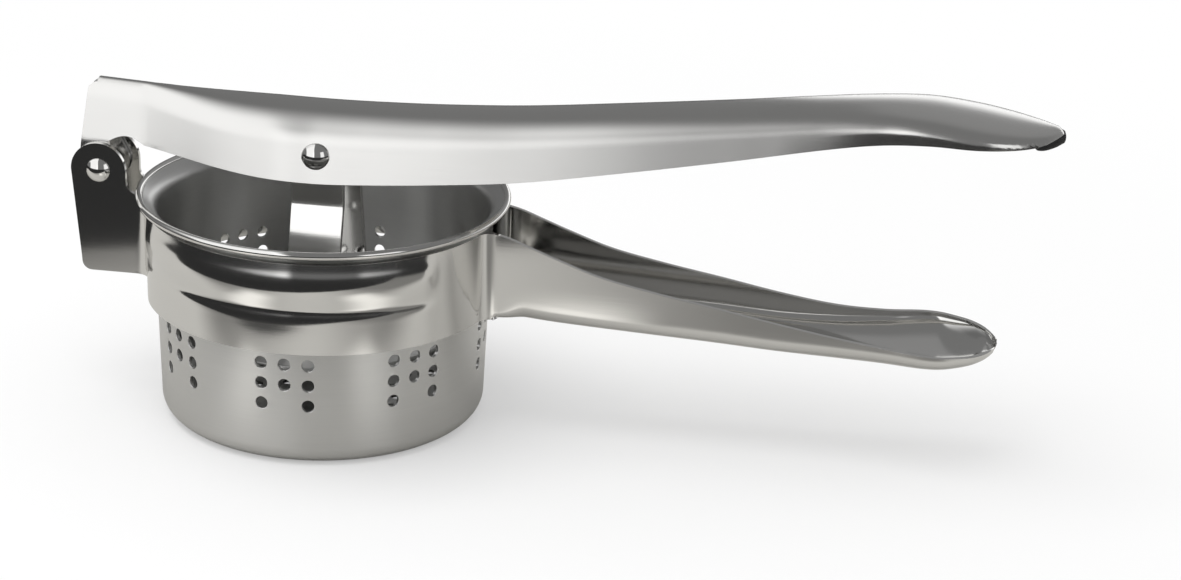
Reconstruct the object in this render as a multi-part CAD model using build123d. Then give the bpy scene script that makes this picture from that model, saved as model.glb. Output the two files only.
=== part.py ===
from build123d import *
from math import asin, atan2, cos, degrees, hypot, radians, sin, sqrt, tan
import os

os.makedirs("parts", exist_ok=True)

# A lever press for boiled potatoes. The basket stands on its base at the
# origin, +X runs along both handles and -Y is the side the user faces.

# Basket: a deep drawn cup with a flared, rolled lip
basket_radius = 41.8
basket_draft = 1.5
basket_height = 55.5
basket_wall = 1.0
base_corner_radius = 4.5
lip_radius = 46.0
lip_roll_radius = 0.9
lip_bend_radius = 3.0
lip_slope_angle = 30
hole_diameter = 3.0
side_hole_groups = 8
side_hole_rows = 4
side_hole_low_height = 15.85
side_hole_row_pitch = 5.25
side_hole_column_pitch = 5.8
floor_hole_pitch = 6.2
floor_solid_rings = 2

# Lower frame: one strip that makes the cheeks, the collar and the handle
frame_sheet = 1.2
collar_gap = 0.5
collar_height = 22.4
collar_seat_gap = 0.3
bead_depth = 1.3
bend_radius = 4.0
handle_length = 122.9
handle_width = 22.4
handle_grip_width = 32.0
handle_crown_drop = 4.4
handle_root_length = 7.0
cheek_gap = 10.0
cheek_radius = 6.9
hinge_setback = 12.0
hinge_rise = 5.9
cheek_foot_rise = 1.9
cheek_foot_inset = 2.1
cheek_neck_share = 0.55
cheek_corner_radius = 2.5

# Upper lever: one pressed channel, open below
lever_sheet = 1.0
lever_length = 237.6
lever_tail = 5.3
lever_side_gap = 0.2
lever_pivot_width = 22.8
lever_grip_width = 30.6
lever_ear_radius = 4.9
tip_guard_length = 6.8
tip_guard_wrap = 0.6
tip_guard_belly = 0.6
tip_guard_belly_setback = 2.6
tip_guard_rise = 0.95

# Plunger: a strip yoke spot welded to a pressing plate
pivot_rise = 13.0
pivot_forward = 0.6
yoke_sheet = 1.5
yoke_width = 13.0
yoke_side_gap = 0.2
yoke_ear_radius = 4.8
yoke_shoulder_drop = 6.2
yoke_bend_drop = 12.6
yoke_flare_angle = 17
yoke_corner_radius = 3.0
plunger_drop = 48.0
plate_radius = 33.5
plate_thickness = 2.0
plate_edge_radius = 0.6

# Pins: solid rivets with domed heads
hinge_pin_diameter = 4.0
hinge_head_diameter = 5.9
hinge_head_height = 1.3
plunger_pin_diameter = 4.0
plunger_head_diameter = 6.9
plunger_head_height = 1.9
pin_fit_gap = 0.02
pin_running_gap = 0.05
cut_overrun = 2.0

# Worked out from the sizes above
collar_inner = basket_radius + collar_gap
collar_outer = collar_inner + frame_sheet
lip_turn_angle = 90 - lip_slope_angle
lip_roll_centre = lip_radius - lip_roll_radius
lip_bend_centre = basket_radius + lip_bend_radius
lip_bend_middle = lip_bend_radius + basket_wall / 2
lip_bend_end = lip_bend_centre - lip_bend_middle * cos(radians(lip_turn_angle))
lip_slope_rise = (lip_roll_centre - lip_bend_end) * tan(radians(lip_slope_angle))
lip_start = basket_height - lip_slope_rise - lip_bend_middle * sin(radians(lip_turn_angle))
seat_reach = lip_bend_radius - collar_gap
collar_top = lip_start + sqrt(lip_bend_radius**2 - seat_reach**2) - collar_seat_gap
collar_bottom = collar_top - collar_height
cheek_half = cheek_gap / 2 + frame_sheet
hinge_x = -collar_outer - hinge_setback
hinge_z = collar_top + hinge_rise
lever_ear_half = cheek_gap / 2 - lever_side_gap
lever_pivot_half = lever_pivot_width / 2
pivot_x = pivot_forward
pivot_z = basket_height + pivot_rise
bend_reach = collar_outer + bend_radius
bend_centre_x = sqrt(bend_reach**2 - (handle_width / 2 + bend_radius) ** 2)
root_end = bend_centre_x + handle_root_length
lever_start = hinge_x - lever_tail
handle_crown_start = collar_bottom - frame_sheet / 4
plate_bottom = pivot_z - plunger_drop
plate_top = plate_bottom + plate_thickness

# Stations along the lever, as shares of its length and of its widths:
# along, spread from ear width to grip width, lower edge and crown above the
# hinge pin, dome as a share of the depth, fullness of the dome
lever_station_shares = [
    (0.070, 0.000, 0.0290, 0.0902, 0.22, 2.9),
    (0.110, 0.220, 0.0250, 0.0878, 0.24, 2.8),
    (0.160, 0.470, 0.0203, 0.0856, 0.25, 2.7),
    (0.207, 0.616, 0.0165, 0.0846, 0.26, 2.6),
    (0.258, 0.628, 0.0152, 0.0842, 0.26, 2.6),
    (0.310, 0.628, 0.0180, 0.0850, 0.26, 2.6),
    (0.380, 0.632, 0.0240, 0.0876, 0.26, 2.6),
    (0.465, 0.636, 0.0336, 0.0932, 0.27, 2.6),
    (0.570, 0.640, 0.0524, 0.1042, 0.28, 2.6),
    (0.675, 0.650, 0.0732, 0.1160, 0.30, 2.5),
    (0.760, 0.690, 0.0914, 0.1262, 0.38, 2.4),
    (0.820, 0.790, 0.1024, 0.1324, 0.50, 2.2),
    (0.870, 0.940, 0.1074, 0.1338, 0.62, 2.1),
    (0.915, 1.000, 0.1076, 0.1296, 0.70, 2.0),
    (0.952, 0.780, 0.1078, 0.1244, 0.76, 2.0),
    (0.978, 0.400, 0.1088, 0.1206, 0.80, 2.0),
    (0.992, 0.040, 0.1110, 0.1186, 0.84, 2.0),
    (1.000, -0.260, 0.1128, 0.1178, 0.86, 2.0),
]
lever_tail_crown_share = 0.0935
lever_tail_dome_share = 0.14
lever_tail_fullness_share = 2.8
lever_tail_lean_share = 0.11
lever_neck_width_share = 1.4
lever_notch_place_share = 0.047
lever_notch_rise_share = 0.0072

# Stations along the handle beyond its root: along, spread from handle width
# to grip width, open edge above and crown below, as shares of the collar
# height and of the crown drop, dome share and fullness
handle_station_shares = [
    (0.000, 0.00, 0.880, 0.10, 0.30, 3.0),
    (0.065, 0.00, 0.755, 0.22, 0.32, 3.0),
    (0.160, 0.00, 0.590, 0.36, 0.36, 2.8),
    (0.275, 0.00, 0.465, 0.50, 0.42, 2.7),
    (0.410, 0.00, 0.345, 0.66, 0.50, 2.6),
    (0.540, 0.00, 0.225, 0.84, 0.58, 2.5),
    (0.660, 0.12, 0.135, 0.96, 0.66, 2.3),
    (0.765, 0.48, 0.095, 1.00, 0.74, 2.1),
    (0.845, 0.92, 0.085, 0.98, 0.80, 2.0),
    (0.885, 0.92, 0.080, 0.92, 0.82, 2.0),
    (0.920, 0.62, 0.075, 0.78, 0.82, 2.0),
    (0.950, 0.25, 0.070, 0.58, 0.82, 2.0),
    (0.975, -0.36, 0.066, 0.36, 0.84, 2.0),
    (0.991, -1.05, 0.062, 0.16, 0.84, 2.0),
    (1.000, -1.70, 0.060, 0.06, 0.86, 2.0),
]

root_edge = collar_bottom + handle_station_shares[0][2] * collar_height
root_edge_slope = -0.42

# Collar rib: height below the top edge, bulge as a share of the bead depth
bead_profile_shares = [
    (0.00, 0.00),
    (0.08, 0.34),
    (0.16, 0.72),
    (0.24, 0.98),
    (0.30, 0.97),
    (0.38, 0.70),
    (0.45, 0.32),
    (0.505, 0.02),
    (0.53, 0.00),
    (0.56, 0.12),
    (0.60, 0.30),
    (0.64, 0.36),
    (0.70, 0.36),
    (1.00, 0.36),
]
bead_start_angle = 199
bead_end_angle = 322
bead_fade_angle = 7
dome_step_angle = 15
tip_guard_stations = 4


def place(x, z, y=0):
    return Vector(x, y, z)


def side_prism(face, half_width):
    """Extrude an outline in the XZ plane to both sides."""
    return extrude(face, amount=half_width, dir=(0, 1, 0), both=True)


def cross_pin(x, z, diameter, half_length):
    """A round bar across the part, along Y."""
    disc = Plane(origin=(x, 0, z), z_dir=(0, 1, 0)) * Circle(diameter / 2)
    return extrude(disc, amount=half_length, both=True)


def dome_points(x, half_width, spring, rise, fullness):
    """Points over a superellipse from one wall to the other."""
    points = []
    power = 2 / fullness
    for step in range(0, 181, dome_step_angle):
        across = cos(radians(step))
        up = abs(sin(radians(step))) ** power
        side = 1 if across >= 0 else -1
        points.append(Vector(x, side * half_width * abs(across) ** power, spring + rise * up))
    return points


def channel_face(x, half_width, edge, crown, dome_share, fullness, sheet):
    """Section of a bent sheet channel, open at the edge side."""
    rise = (crown - edge) * dome_share
    up = 1 if rise > 0 else -1
    spring = crown - rise
    inner_half = half_width - sheet
    inner_rise = rise - up * sheet
    along_wall = ((0, 0, up), (0, 0, -up))
    outer = dome_points(x, half_width, spring, rise, fullness)
    inner = dome_points(x, inner_half, spring, inner_rise, fullness)
    outer_foot = [Vector(x, half_width, edge), Vector(x, -half_width, edge)]
    inner_foot = [Vector(x, inner_half, edge), Vector(x, -inner_half, edge)]
    edges = [
        Line(outer_foot[0], outer[0]),
        Spline(outer, tangents=along_wall),
        Line(outer[-1], outer_foot[1]),
        Line(outer_foot[1], inner_foot[1]),
        Line(inner_foot[1], inner[-1]),
        Spline(inner, tangents=along_wall),
        Line(inner[0], inner_foot[0]),
        Line(inner_foot[0], outer_foot[0]),
    ]
    return Face(Wire(edges))


def make_basket():
    """Cup wall as a band along its middle line, turned about Z."""
    half_wall = basket_wall / 2
    roll_at = place(lip_roll_centre, basket_height)
    bend_middle = radians(lip_turn_angle / 2)
    wall = FilletPolyline(
        place(-cut_overrun, half_wall),
        place(basket_radius - basket_draft - half_wall, half_wall),
        place(basket_radius - half_wall, lip_start),
        radius=base_corner_radius - half_wall,
    )
    lip_bend = ThreePointArc(
        place(basket_radius - half_wall, lip_start),
        place(
            lip_bend_centre - lip_bend_middle * cos(bend_middle),
            lip_start + lip_bend_middle * sin(bend_middle),
        ),
        place(lip_bend_end, basket_height - lip_slope_rise),
    )
    lip_slope = Line(lip_bend @ 1, roll_at)
    middle_line = Wire(wall.edges() + lip_bend.edges() + lip_slope.edges())
    band = Face(middle_line.offset_2d(half_wall))
    right_side = Plane.XZ * Pos(lip_radius, 0) * Rectangle(2 * lip_radius, 4 * basket_height)
    cup = revolve(band & right_side, axis=Axis.Z, revolution_arc=360)
    roll = Plane(origin=roll_at, z_dir=(0, 1, 0)) * Circle(lip_roll_radius)
    cup += revolve(roll, axis=Axis.Z, revolution_arc=360)
    return cup - side_holes() - floor_holes()


def side_holes():
    holes = []
    column_angle = degrees(side_hole_column_pitch / basket_radius)
    for group in range(side_hole_groups):
        for column in (-1, 0, 1):
            for row in range(side_hole_rows):
                if column == 0 and row == 0:
                    continue
                turn = group * 360 / side_hole_groups + column * column_angle
                height = side_hole_low_height + row * side_hole_row_pitch
                drill = Cylinder(hole_diameter / 2, basket_wall * 6, rotation=(0, 90, 0))
                holes.append(Rot(0, 0, turn) * Pos(basket_radius, 0, height) * drill)
    return holes


def floor_holes():
    holes = []
    flat_radius = basket_radius - basket_draft - base_corner_radius
    rings = int((flat_radius - hole_diameter / 2) / floor_hole_pitch)
    for ring in range(floor_solid_rings, rings + 1):
        count = 6 * ring
        for step in range(count):
            turn = 360 * (step + ring % 2 / 2) / count
            drill = Cylinder(hole_diameter / 2, basket_wall * 4)
            holes.append(Rot(0, 0, turn) * Pos(ring * floor_hole_pitch, 0, 0) * drill)
    return holes


def strip_plan():
    """Plan of the bent strip on the near side: cheek, collar half, handle wall."""
    wall_half = handle_width / 2
    reach = collar_outer + bend_radius
    left_bend = Vector(-sqrt(reach**2 - (cheek_half + bend_radius) ** 2), -cheek_half - bend_radius)
    right_bend = Vector(bend_centre_x, -wall_half - bend_radius)
    cheek_end = hinge_x - cheek_radius - cut_overrun
    sides = []
    for shrink in (0, frame_sheet):
        radius = collar_outer - shrink
        left_foot = Vector(left_bend.X, -cheek_half + shrink)
        left_meet = left_bend.normalized() * radius
        right_meet = right_bend.normalized() * radius
        right_foot = Vector(right_bend.X, -wall_half + shrink)
        end = Vector(cheek_end, -cheek_half + shrink)
        bend = bend_radius + shrink
        left_middle = left_bend + unit_between(left_bend, left_foot, left_meet) * bend
        right_middle = right_bend + unit_between(right_bend, right_foot, right_meet) * bend
        sides.append([
            Line(end, left_foot),
            ThreePointArc(left_foot, left_middle, left_meet),
            ThreePointArc(left_meet, Vector(0, -radius), right_meet),
            ThreePointArc(right_meet, right_middle, right_foot),
        ])
    outer, inner = sides
    ends = [Line(outer[0] @ 0, inner[0] @ 0), Line(outer[-1] @ 1, inner[-1] @ 1)]
    return Face(Wire(outer + inner + ends))


def unit_between(centre, first, second):
    """Direction from a bend's centre to the middle of its arc."""
    return ((first - centre).normalized() + (second - centre).normalized()).normalized()


def cheek_outline():
    """Side view of a cheek: round top about the hinge pin, foot by the collar."""
    foot = collar_bottom + cheek_foot_rise
    front = hinge_x - cheek_radius
    back = hinge_x + cheek_radius
    neck = collar_top + (hinge_z - collar_top) * cheek_neck_share
    crown = ThreePointArc(place(back, hinge_z), place(hinge_x, hinge_z + cheek_radius), place(front, hinge_z))
    front_edge = FilletPolyline(
        place(front, hinge_z), place(front + cheek_foot_inset, foot), place(-collar_inner, foot),
        radius=cheek_corner_radius,
    )
    neck_curve = Spline(
        place(back, neck), place(-collar_outer - frame_sheet, collar_top),
        tangents=((0, 0, -1), (1, 0, 0)),
    )
    edges = [
        crown, Line(place(back, hinge_z), place(back, neck)), neck_curve,
        Line(neck_curve @ 1, place(-collar_inner, collar_top)),
        Line(place(-collar_inner, collar_top), place(-collar_inner, foot)),
    ]
    return Face(Wire(edges + list(front_edge.edges())))


def band_outline():
    """Side view of the collar band, from the cheeks to the handle's root."""
    middle = (collar_bottom + collar_top) / 2
    start = -collar_outer - frame_sheet
    width = bend_centre_x - start
    return Plane.XZ * Pos(start + width / 2, middle) * Rectangle(width, collar_height)


def root_cutter():
    """What lies above the handle's root, where its edge runs down from the collar."""
    ceiling = hinge_z + cheek_radius
    top = Spline(
        place(bend_centre_x - bend_radius, collar_top), place(root_end, root_edge),
        tangents=((1, 0, 0), (1, 0, root_edge_slope)),
    )
    edges = [
        top, Line(top @ 1, place(root_end, ceiling)),
        Line(place(root_end, ceiling), place((top @ 0).X, ceiling)),
        Line(place((top @ 0).X, ceiling), top @ 0),
    ]
    return side_prism(Face(Wire(edges)), handle_grip_width)


def bead_face(bulge, angle):
    """Section of the collar band at one angle, with its rolled rib."""
    outer = []
    inner = []
    for drop, swell in bead_profile_shares:
        height = collar_top - drop * collar_height
        outer.append(place(collar_outer + bulge * swell, height))
        inner.append(place(collar_inner + bulge * swell, height))
    edges = [
        Spline(outer), Line(outer[-1], inner[-1]), Spline(inner), Line(inner[0], outer[0]),
    ]
    return Rot(0, 0, angle) * Face(Wire(edges))


def ribbed_band():
    """The near half of the collar where its rib runs, with the rib faded out."""
    core_start = bead_start_angle + bead_fade_angle
    core_end = bead_end_angle - bead_fade_angle
    core = revolve(bead_face(bead_depth, core_start), axis=Axis.Z, revolution_arc=core_end - core_start)
    fade_in = loft([bead_face(0, bead_start_angle), bead_face(bead_depth, core_start)], ruled=True)
    fade_out = loft([bead_face(bead_depth, core_end), bead_face(0, bead_end_angle)], ruled=True)
    return core + fade_in + fade_out


def rib_sector():
    """The piece of the plain band that the ribbed band takes the place of."""
    block = Plane.XZ * Pos(collar_outer, (collar_top + collar_bottom) / 2) * Rectangle(
        2 * bend_radius, collar_height + cut_overrun
    )
    arc = bead_end_angle - bead_start_angle
    return revolve(Rot(0, 0, bead_start_angle) * block, axis=Axis.Z, revolution_arc=arc)


def handle_sections():
    faces = []
    length = handle_length - handle_root_length - (bend_centre_x - collar_outer)
    for along, spread, edge, crown, dome, fullness in handle_station_shares:
        half = (handle_width + (handle_grip_width - handle_width) * spread) / 2
        edge_z = collar_bottom + edge * collar_height
        crown_z = handle_crown_start - crown * handle_crown_drop
        face = channel_face(root_end + along * length, half, edge_z, crown_z, dome, fullness, frame_sheet)
        faces.append(face)
    return faces


def handle_root():
    """The first stretch of the channel, with its floor run up to the collar."""
    first = handle_station_shares[0]
    crown_z = handle_crown_start - first[3] * handle_crown_drop
    rise = (crown_z - root_edge) * first[4]
    tall_edge = collar_top + cut_overrun
    dome = rise / (crown_z - tall_edge)
    section = channel_face(root_end, handle_width / 2, tall_edge, crown_z, dome, first[5], frame_sheet)
    trough = extrude(section, amount=-root_end, dir=(1, 0, 0))
    floor_half = handle_width / 2 - frame_sheet - bend_radius / 2
    tall = 4 * collar_height
    for side in (-1, 1):
        corner = Box(bend_centre_x, handle_width, tall, align=(Align.MIN, Align.CENTER, Align.CENTER))
        trough -= Pos(0, side * (floor_half + handle_width / 2), collar_bottom) * corner
    return trough - Cylinder(collar_outer, tall)


def make_lower_frame():
    blank_height = 4 * collar_height
    strip = extrude(strip_plan(), amount=blank_height, both=True)
    outline = cheek_outline() + band_outline()
    near_half = (strip & side_prism(outline, handle_grip_width + collar_outer)) - rib_sector()
    near_half += ribbed_band()
    frame = near_half + mirror(near_half, about=Plane.XZ)
    frame += handle_root()
    frame -= root_cutter()
    frame += loft(handle_sections())
    bore = hinge_pin_diameter + 2 * pin_fit_gap
    return frame - cross_pin(hinge_x, hinge_z, bore, cheek_half + cut_overrun)


def lever_section(along, spread, edge, crown, dome, fullness):
    half = lever_ear_half + (lever_grip_width / 2 - lever_ear_half) * spread
    return channel_face(
        lever_start + along * lever_length, half,
        hinge_z + edge * lever_length, hinge_z + crown * lever_length,
        dome, fullness, lever_sheet,
    )


def tail_outline():
    """Side view of the lever's tail: leaning end, ears and the notch over the collar."""
    first = lever_station_shares[0]
    tail_end = lever_start + first[0] * lever_length
    tail_edge = hinge_z + first[2] * lever_length
    ceiling = hinge_z + 2 * lever_tail_crown_share * lever_length
    lean = lever_tail_lean_share * (ceiling - hinge_z)
    notch_middle = lever_start + lever_notch_place_share * lever_length
    notch_top = tail_edge + lever_notch_rise_share * lever_length
    neck = lever_start + lever_neck_width_share * lever_ear_radius
    notch = ThreePointArc(
        place(tail_end, tail_edge), place(notch_middle, notch_top), place(neck, tail_edge),
    )
    edges = [
        notch,
        Line(place(neck, tail_edge), place(hinge_x, hinge_z)),
        Line(place(hinge_x, hinge_z), place(lever_start, hinge_z)),
        Line(place(lever_start, hinge_z), place(lever_start + lean, ceiling)),
        Line(place(lever_start + lean, ceiling), place(tail_end, ceiling)),
        Line(place(tail_end, ceiling), place(tail_end, tail_edge)),
    ]
    ear = Plane(origin=(hinge_x, 0, hinge_z), z_dir=(0, 1, 0)) * Circle(lever_ear_radius)
    return Face(Wire(edges)) + ear


def lever_tail():
    """Straight first stretch of the channel, cut to the tail's side view."""
    first = lever_station_shares[0]
    ear_edge = -lever_ear_radius / lever_length
    front = list(first)
    back = [
        0, 0, ear_edge, lever_tail_crown_share, lever_tail_dome_share, lever_tail_fullness_share,
    ]
    rise = (first[3] - first[2]) * first[4]
    front[2] = ear_edge
    front[4] = rise / (first[3] - ear_edge)
    blank = loft([lever_section(*back), lever_section(*front)], ruled=True)
    return blank & side_prism(tail_outline(), lever_grip_width)


def make_upper_lever():
    body = loft([lever_section(*row) for row in lever_station_shares])
    lever = body + lever_tail()
    ear_bore = hinge_pin_diameter + 2 * pin_running_gap
    lever -= cross_pin(hinge_x, hinge_z, ear_bore, cheek_half + cut_overrun)
    pivot_bore = plunger_pin_diameter + 2 * pin_fit_gap
    return lever - cross_pin(pivot_x, pivot_z, pivot_bore, lever_pivot_width)


def tip_plan(grow):
    """Plan of the lever's tip, moved out by a small amount."""
    points = []
    for along, spread, *rest in lever_station_shares[-tip_guard_stations:]:
        half = lever_ear_half + (lever_grip_width / 2 - lever_ear_half) * spread
        points.append(Vector(lever_start + along * lever_length, half + grow))
    points.append(Vector(lever_start + lever_length + grow, 0))
    points += [Vector(point.X, -point.Y) for point in reversed(points[:-1])]
    return Face(Wire([Spline(points), Line(points[-1], points[0])]))


def make_tip_guard(lever):
    """Thin edge guard: a crescent that hugs the rim of the lever's tip."""
    tip = lever_start + lever_length
    back_rim = hinge_z + lever_station_shares[-tip_guard_stations][2] * lever_length
    tip_rim = hinge_z + lever_station_shares[-1][2] * lever_length
    back = place(tip - tip_guard_length, back_rim)
    belly = place(tip - tip_guard_belly_setback, back_rim - tip_guard_belly)
    front = place(tip + tip_guard_wrap, tip_rim + tip_guard_rise)
    side_view = Face(Wire([Spline(back, belly, front), Line(front, back)]))
    plan = Pos(0, 0, back_rim) * (tip_plan(tip_guard_wrap) - tip_plan(-lever_sheet / 2))
    blank = extrude(plan, amount=tip_guard_length, both=True)
    guard = (blank & side_prism(side_view, lever_grip_width)) - lever
    return guard.solids().sort_by(SortBy.VOLUME)[-1]


def make_plunger_yoke():
    """A strip bent into a flared stirrup, its base on the pressing plate."""
    top = pivot_z + yoke_ear_radius
    bend_z = pivot_z - yoke_bend_drop
    leg = lever_pivot_half - lever_sheet - yoke_side_gap - yoke_sheet / 2
    base_z = plate_top + yoke_sheet / 2
    foot = leg + (bend_z - base_z) * tan(radians(yoke_flare_angle))
    path = FilletPolyline(
        (pivot_x, -leg, top + cut_overrun), (pivot_x, -leg, bend_z), (pivot_x, -foot, base_z),
        (pivot_x, foot, base_z), (pivot_x, leg, bend_z), (pivot_x, leg, top + cut_overrun),
        radius=yoke_corner_radius,
    )
    band = Face(Wire(path.edges()).offset_2d(yoke_sheet / 2))
    strip = extrude(band, amount=yoke_width / 2, dir=(1, 0, 0), both=True)
    shoulder = pivot_z - yoke_shoulder_drop
    half = yoke_width / 2
    lean = atan2(yoke_shoulder_drop, half) + asin(yoke_ear_radius / hypot(half, yoke_shoulder_drop))
    touch_x = yoke_ear_radius * sin(lean)
    touch_z = yoke_ear_radius * cos(lean)
    sides = Polyline(
        place(pivot_x + touch_x, pivot_z - touch_z), place(pivot_x + half, shoulder),
        place(pivot_x + half, plate_top), place(pivot_x - half, plate_top),
        place(pivot_x - half, shoulder), place(pivot_x - touch_x, pivot_z - touch_z), close=True,
    )
    ear = Plane(origin=(pivot_x, 0, pivot_z), z_dir=(0, 1, 0)) * Circle(yoke_ear_radius)
    yoke = strip & side_prism(Face(Wire(sides.edges())) + ear, plate_radius)
    bore = plunger_pin_diameter + 2 * pin_running_gap
    return yoke - cross_pin(pivot_x, pivot_z, bore, lever_pivot_width)


def make_press_plate():
    disc = Cylinder(plate_radius, plate_thickness, align=(Align.CENTER, Align.CENTER, Align.MIN))
    disc = fillet(disc.edges().filter_by(GeomType.CIRCLE), plate_edge_radius)
    return Pos(pivot_x, 0, plate_bottom) * disc


def make_rivet(x, z, diameter, span_half, head_diameter, head_height):
    """A solid rivet across the part with a domed head on each side."""
    rivet = cross_pin(x, z, diameter, span_half)
    head_radius = head_diameter / 2
    ball_radius = (head_radius**2 + head_height**2) / (2 * head_height)
    for side in (-1, 1):
        ball = Pos(0, 0, head_height - ball_radius) * Sphere(ball_radius)
        keep = Cylinder(head_radius, head_height, align=(Align.CENTER, Align.CENTER, Align.MIN))
        seat = Plane(origin=(x, side * span_half, z), z_dir=(0, side, 0))
        rivet += seat * (ball & keep)
    return rivet


def main():
    lever = make_upper_lever()
    pieces = {
        "basket": make_basket(),
        "lower_frame": make_lower_frame(),
        "upper_lever": lever,
        "tip_guard": make_tip_guard(lever),
        "hinge_pin": make_rivet(
            hinge_x, hinge_z, hinge_pin_diameter, cheek_half, hinge_head_diameter, hinge_head_height
        ),
        "plunger_pin": make_rivet(
            pivot_x, pivot_z, plunger_pin_diameter, lever_pivot_half + pin_running_gap,
            plunger_head_diameter, plunger_head_height,
        ),
        "plunger_yoke": make_plunger_yoke(),
        "press_plate": make_press_plate(),
    }
    for name, shape in pieces.items():
        export_step(shape, f"parts/{name}.step")


if __name__ == "__main__":
    main()
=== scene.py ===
"""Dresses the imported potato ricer: pressed steel sheets, rivets, finishes and stage."""

from math import asin, atan2, cos, degrees, hypot, pi, radians, sin, sqrt, tan

import bmesh
import bpy
import numpy as np
from mathutils import Matrix, Vector
from mathutils.geometry import delaunay_2d_cdt


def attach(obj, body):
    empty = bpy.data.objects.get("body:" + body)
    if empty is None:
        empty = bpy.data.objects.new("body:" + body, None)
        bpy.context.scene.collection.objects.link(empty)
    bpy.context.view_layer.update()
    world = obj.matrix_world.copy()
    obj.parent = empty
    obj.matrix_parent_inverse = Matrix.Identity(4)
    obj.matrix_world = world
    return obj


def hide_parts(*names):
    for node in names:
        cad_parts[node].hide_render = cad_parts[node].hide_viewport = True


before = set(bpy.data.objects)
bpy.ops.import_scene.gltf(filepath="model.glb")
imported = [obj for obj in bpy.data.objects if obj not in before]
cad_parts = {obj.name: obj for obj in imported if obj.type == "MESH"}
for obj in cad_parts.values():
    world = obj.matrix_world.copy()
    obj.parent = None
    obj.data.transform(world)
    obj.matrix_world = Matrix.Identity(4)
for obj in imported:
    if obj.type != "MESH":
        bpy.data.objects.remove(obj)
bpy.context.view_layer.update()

bl_info = {
    "name": "Potato Ricer Dressing",
    "version": (1, 0, 0),
    "blender": (4, 5, 0),
    "location": "View3D > Sidebar > Ricer",
    "description": "Builds the visible sheets, rivets, finishes and stage of the ricer",
    "category": "Object",
}

MM = 0.001

# The floor in metres: its sides, its back and its slanted front edge
FLOOR_SIDES = (-0.30, 0.40)
FLOOR_BACK = 0.55
FLOOR_FRONT = -0.1347
FLOOR_SLANT = 0.36
FLOOR_FADE = (0.10, 0.42)
FLOOR_EDGE_FADE = 0.05

# Painted shade and painted highlights on the floor, seen only in the steel: where the reflected
# floor is darker, and two brighter spots
FLOOR_MIDDLE = 0.008
PAINTED_SHADE_SIDES = (0.0, 0.11)
PAINTED_SHADE_FRONT = (0.055, 0.095)
PAINTED_HIGHLIGHT_SIDES = (0.034, 0.062)
PAINTED_HIGHLIGHT_DEPTH = (-0.10, -0.058)
PAINTED_HIGHLIGHT_SOFT = 0.012
PAINTED_SHADE_SHARE = 0.38
PAINTED_HIGHLIGHT_SHARE = 1.8

# The studio, in degrees over the front horizon and in shares of sideways reach
STUDIO_RADIUS = 2.4
STUDIO_DARK = 0.03
SOFTBOX_FOOT = (-3, 1)
SOFTBOX_FADE = (66, 130)
SOFTBOX_LIGHT = 1.42
SOFTBOX_FADE_LIGHT = 1.25
SOFTBOX_INNER = (-0.19, -0.09)
SOFTBOX_OUTER = (0.88, 0.93)
SOFTBOX_DIM = (0.22, 0.32)
SOFTBOX_DIM_SHARE = 0.2
SOFTBOX_LEAN = (10, 60)
SOFTBOX_LEAN_SHARE = 0.08
FILL_LIGHT = 0.17
WALL_SIDE = (-0.04, 0.0)
WALL_TOP = (118, 138)
WALL_TOP_LIGHT = 0.08
WALL_FOOT = (160, 170)
WALL_FOOT_LIGHT = 1.0
STRIP_SIDES = (-60, -35)
STRIP_HEIGHTS = (0, 33)
STRIP_LIGHT = 0.9

# Heights and places in millimetres, as the solids have them
BASKET_RADIUS = 41.8
BASKET_FOOT_RADIUS = 40.3
BASKET_HEIGHT = 55.5
BASE_CORNER = 4.5
LIP_START = 51.285
LIP_RADIUS = 46.0
LIP_ROLL = 0.9
LIP_BEND = 3.0
LIP_TURN = radians(60)
HOLE_ROWS = (15.85, 21.1, 26.35, 31.6)
HOLE_COLUMN = 5.8
FLOOR_PITCH = 6.2
HINGE = (-55.5, 58.544)
PIVOT = (0.6, 68.5)
LEVER_START = -60.8
LEVER_LENGTH = 237.6
EAR_HALF = 4.8
GRIP_HALF = 15.3
EAR_RADIUS = 4.9
TAIL_LEAN = 0.11
TAIL_CORNER = 2.0
TAIL_CORNER_FROM = 78.5
CRESCENT_LENGTH = 7.2
LEVER_DRAFT = radians(11)
DRAFT_PIVOT = 0.66
EAR_TOP = 65.4
TAIL_CROWN = 0.0947
TAIL_RISE = 0.0190
TAIL_FULLNESS = 2.3
TAIL_HEIGHT = 17
NOTCH_RISE = 0.0072
BORE_RADIUS = 2.05
CHEEK_BORE_RADIUS = 2.02
LEVER_WALL_AT_PIN = 11.4
COLLAR_OUTER = 43.5
COLLAR_TOP = 52.644
COLLAR_BOTTOM = 30.244
COLLAR_HEIGHT = COLLAR_TOP - COLLAR_BOTTOM
CHEEK_HALF = 6.2
CHEEK_RADIUS = 6.9
CHEEK_FOOT = COLLAR_BOTTOM + 1.9
CHEEK_INSET = 2.1
CHEEK_CORNER = 2.4
CHEEK_NECK = 4.2
STRIP_BEND = 4.0
WALL_HALF = 11.2
HANDLE_GRIP_HALF = 16.0
HANDLE_BEND = 45.02
ROOT_END = 52.02
HANDLE_REACH = 114.38
CROWN_START = 29.944
CROWN_DROP = 4.4
HANDLE_TIP_ROUND = 0.35
TIP_TAPER = 3.5
TIP_THINNING = 0.8
LEVER_TIP_ROUND = 0.3
BEAD_START = 199.0
BEAD_END = 322.0
BEAD_START_FADE = 9.0
BEAD_END_FADE = 7.0
PLATE_RADIUS = 33.5
PLATE_BOTTOM = 20.5
PLATE_TOP = 22.5
YOKE_LEG = 9.45
YOKE_HALF_WIDTH = 6.5
YOKE_EAR = 4.8
YOKE_SHOULDER = 6.2
YOKE_BEND_DROP = 12.6
YOKE_FLARE = radians(17)
YOKE_CORNER = 3.0
YOKE_SOFT_BEND = 7.2

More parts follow.
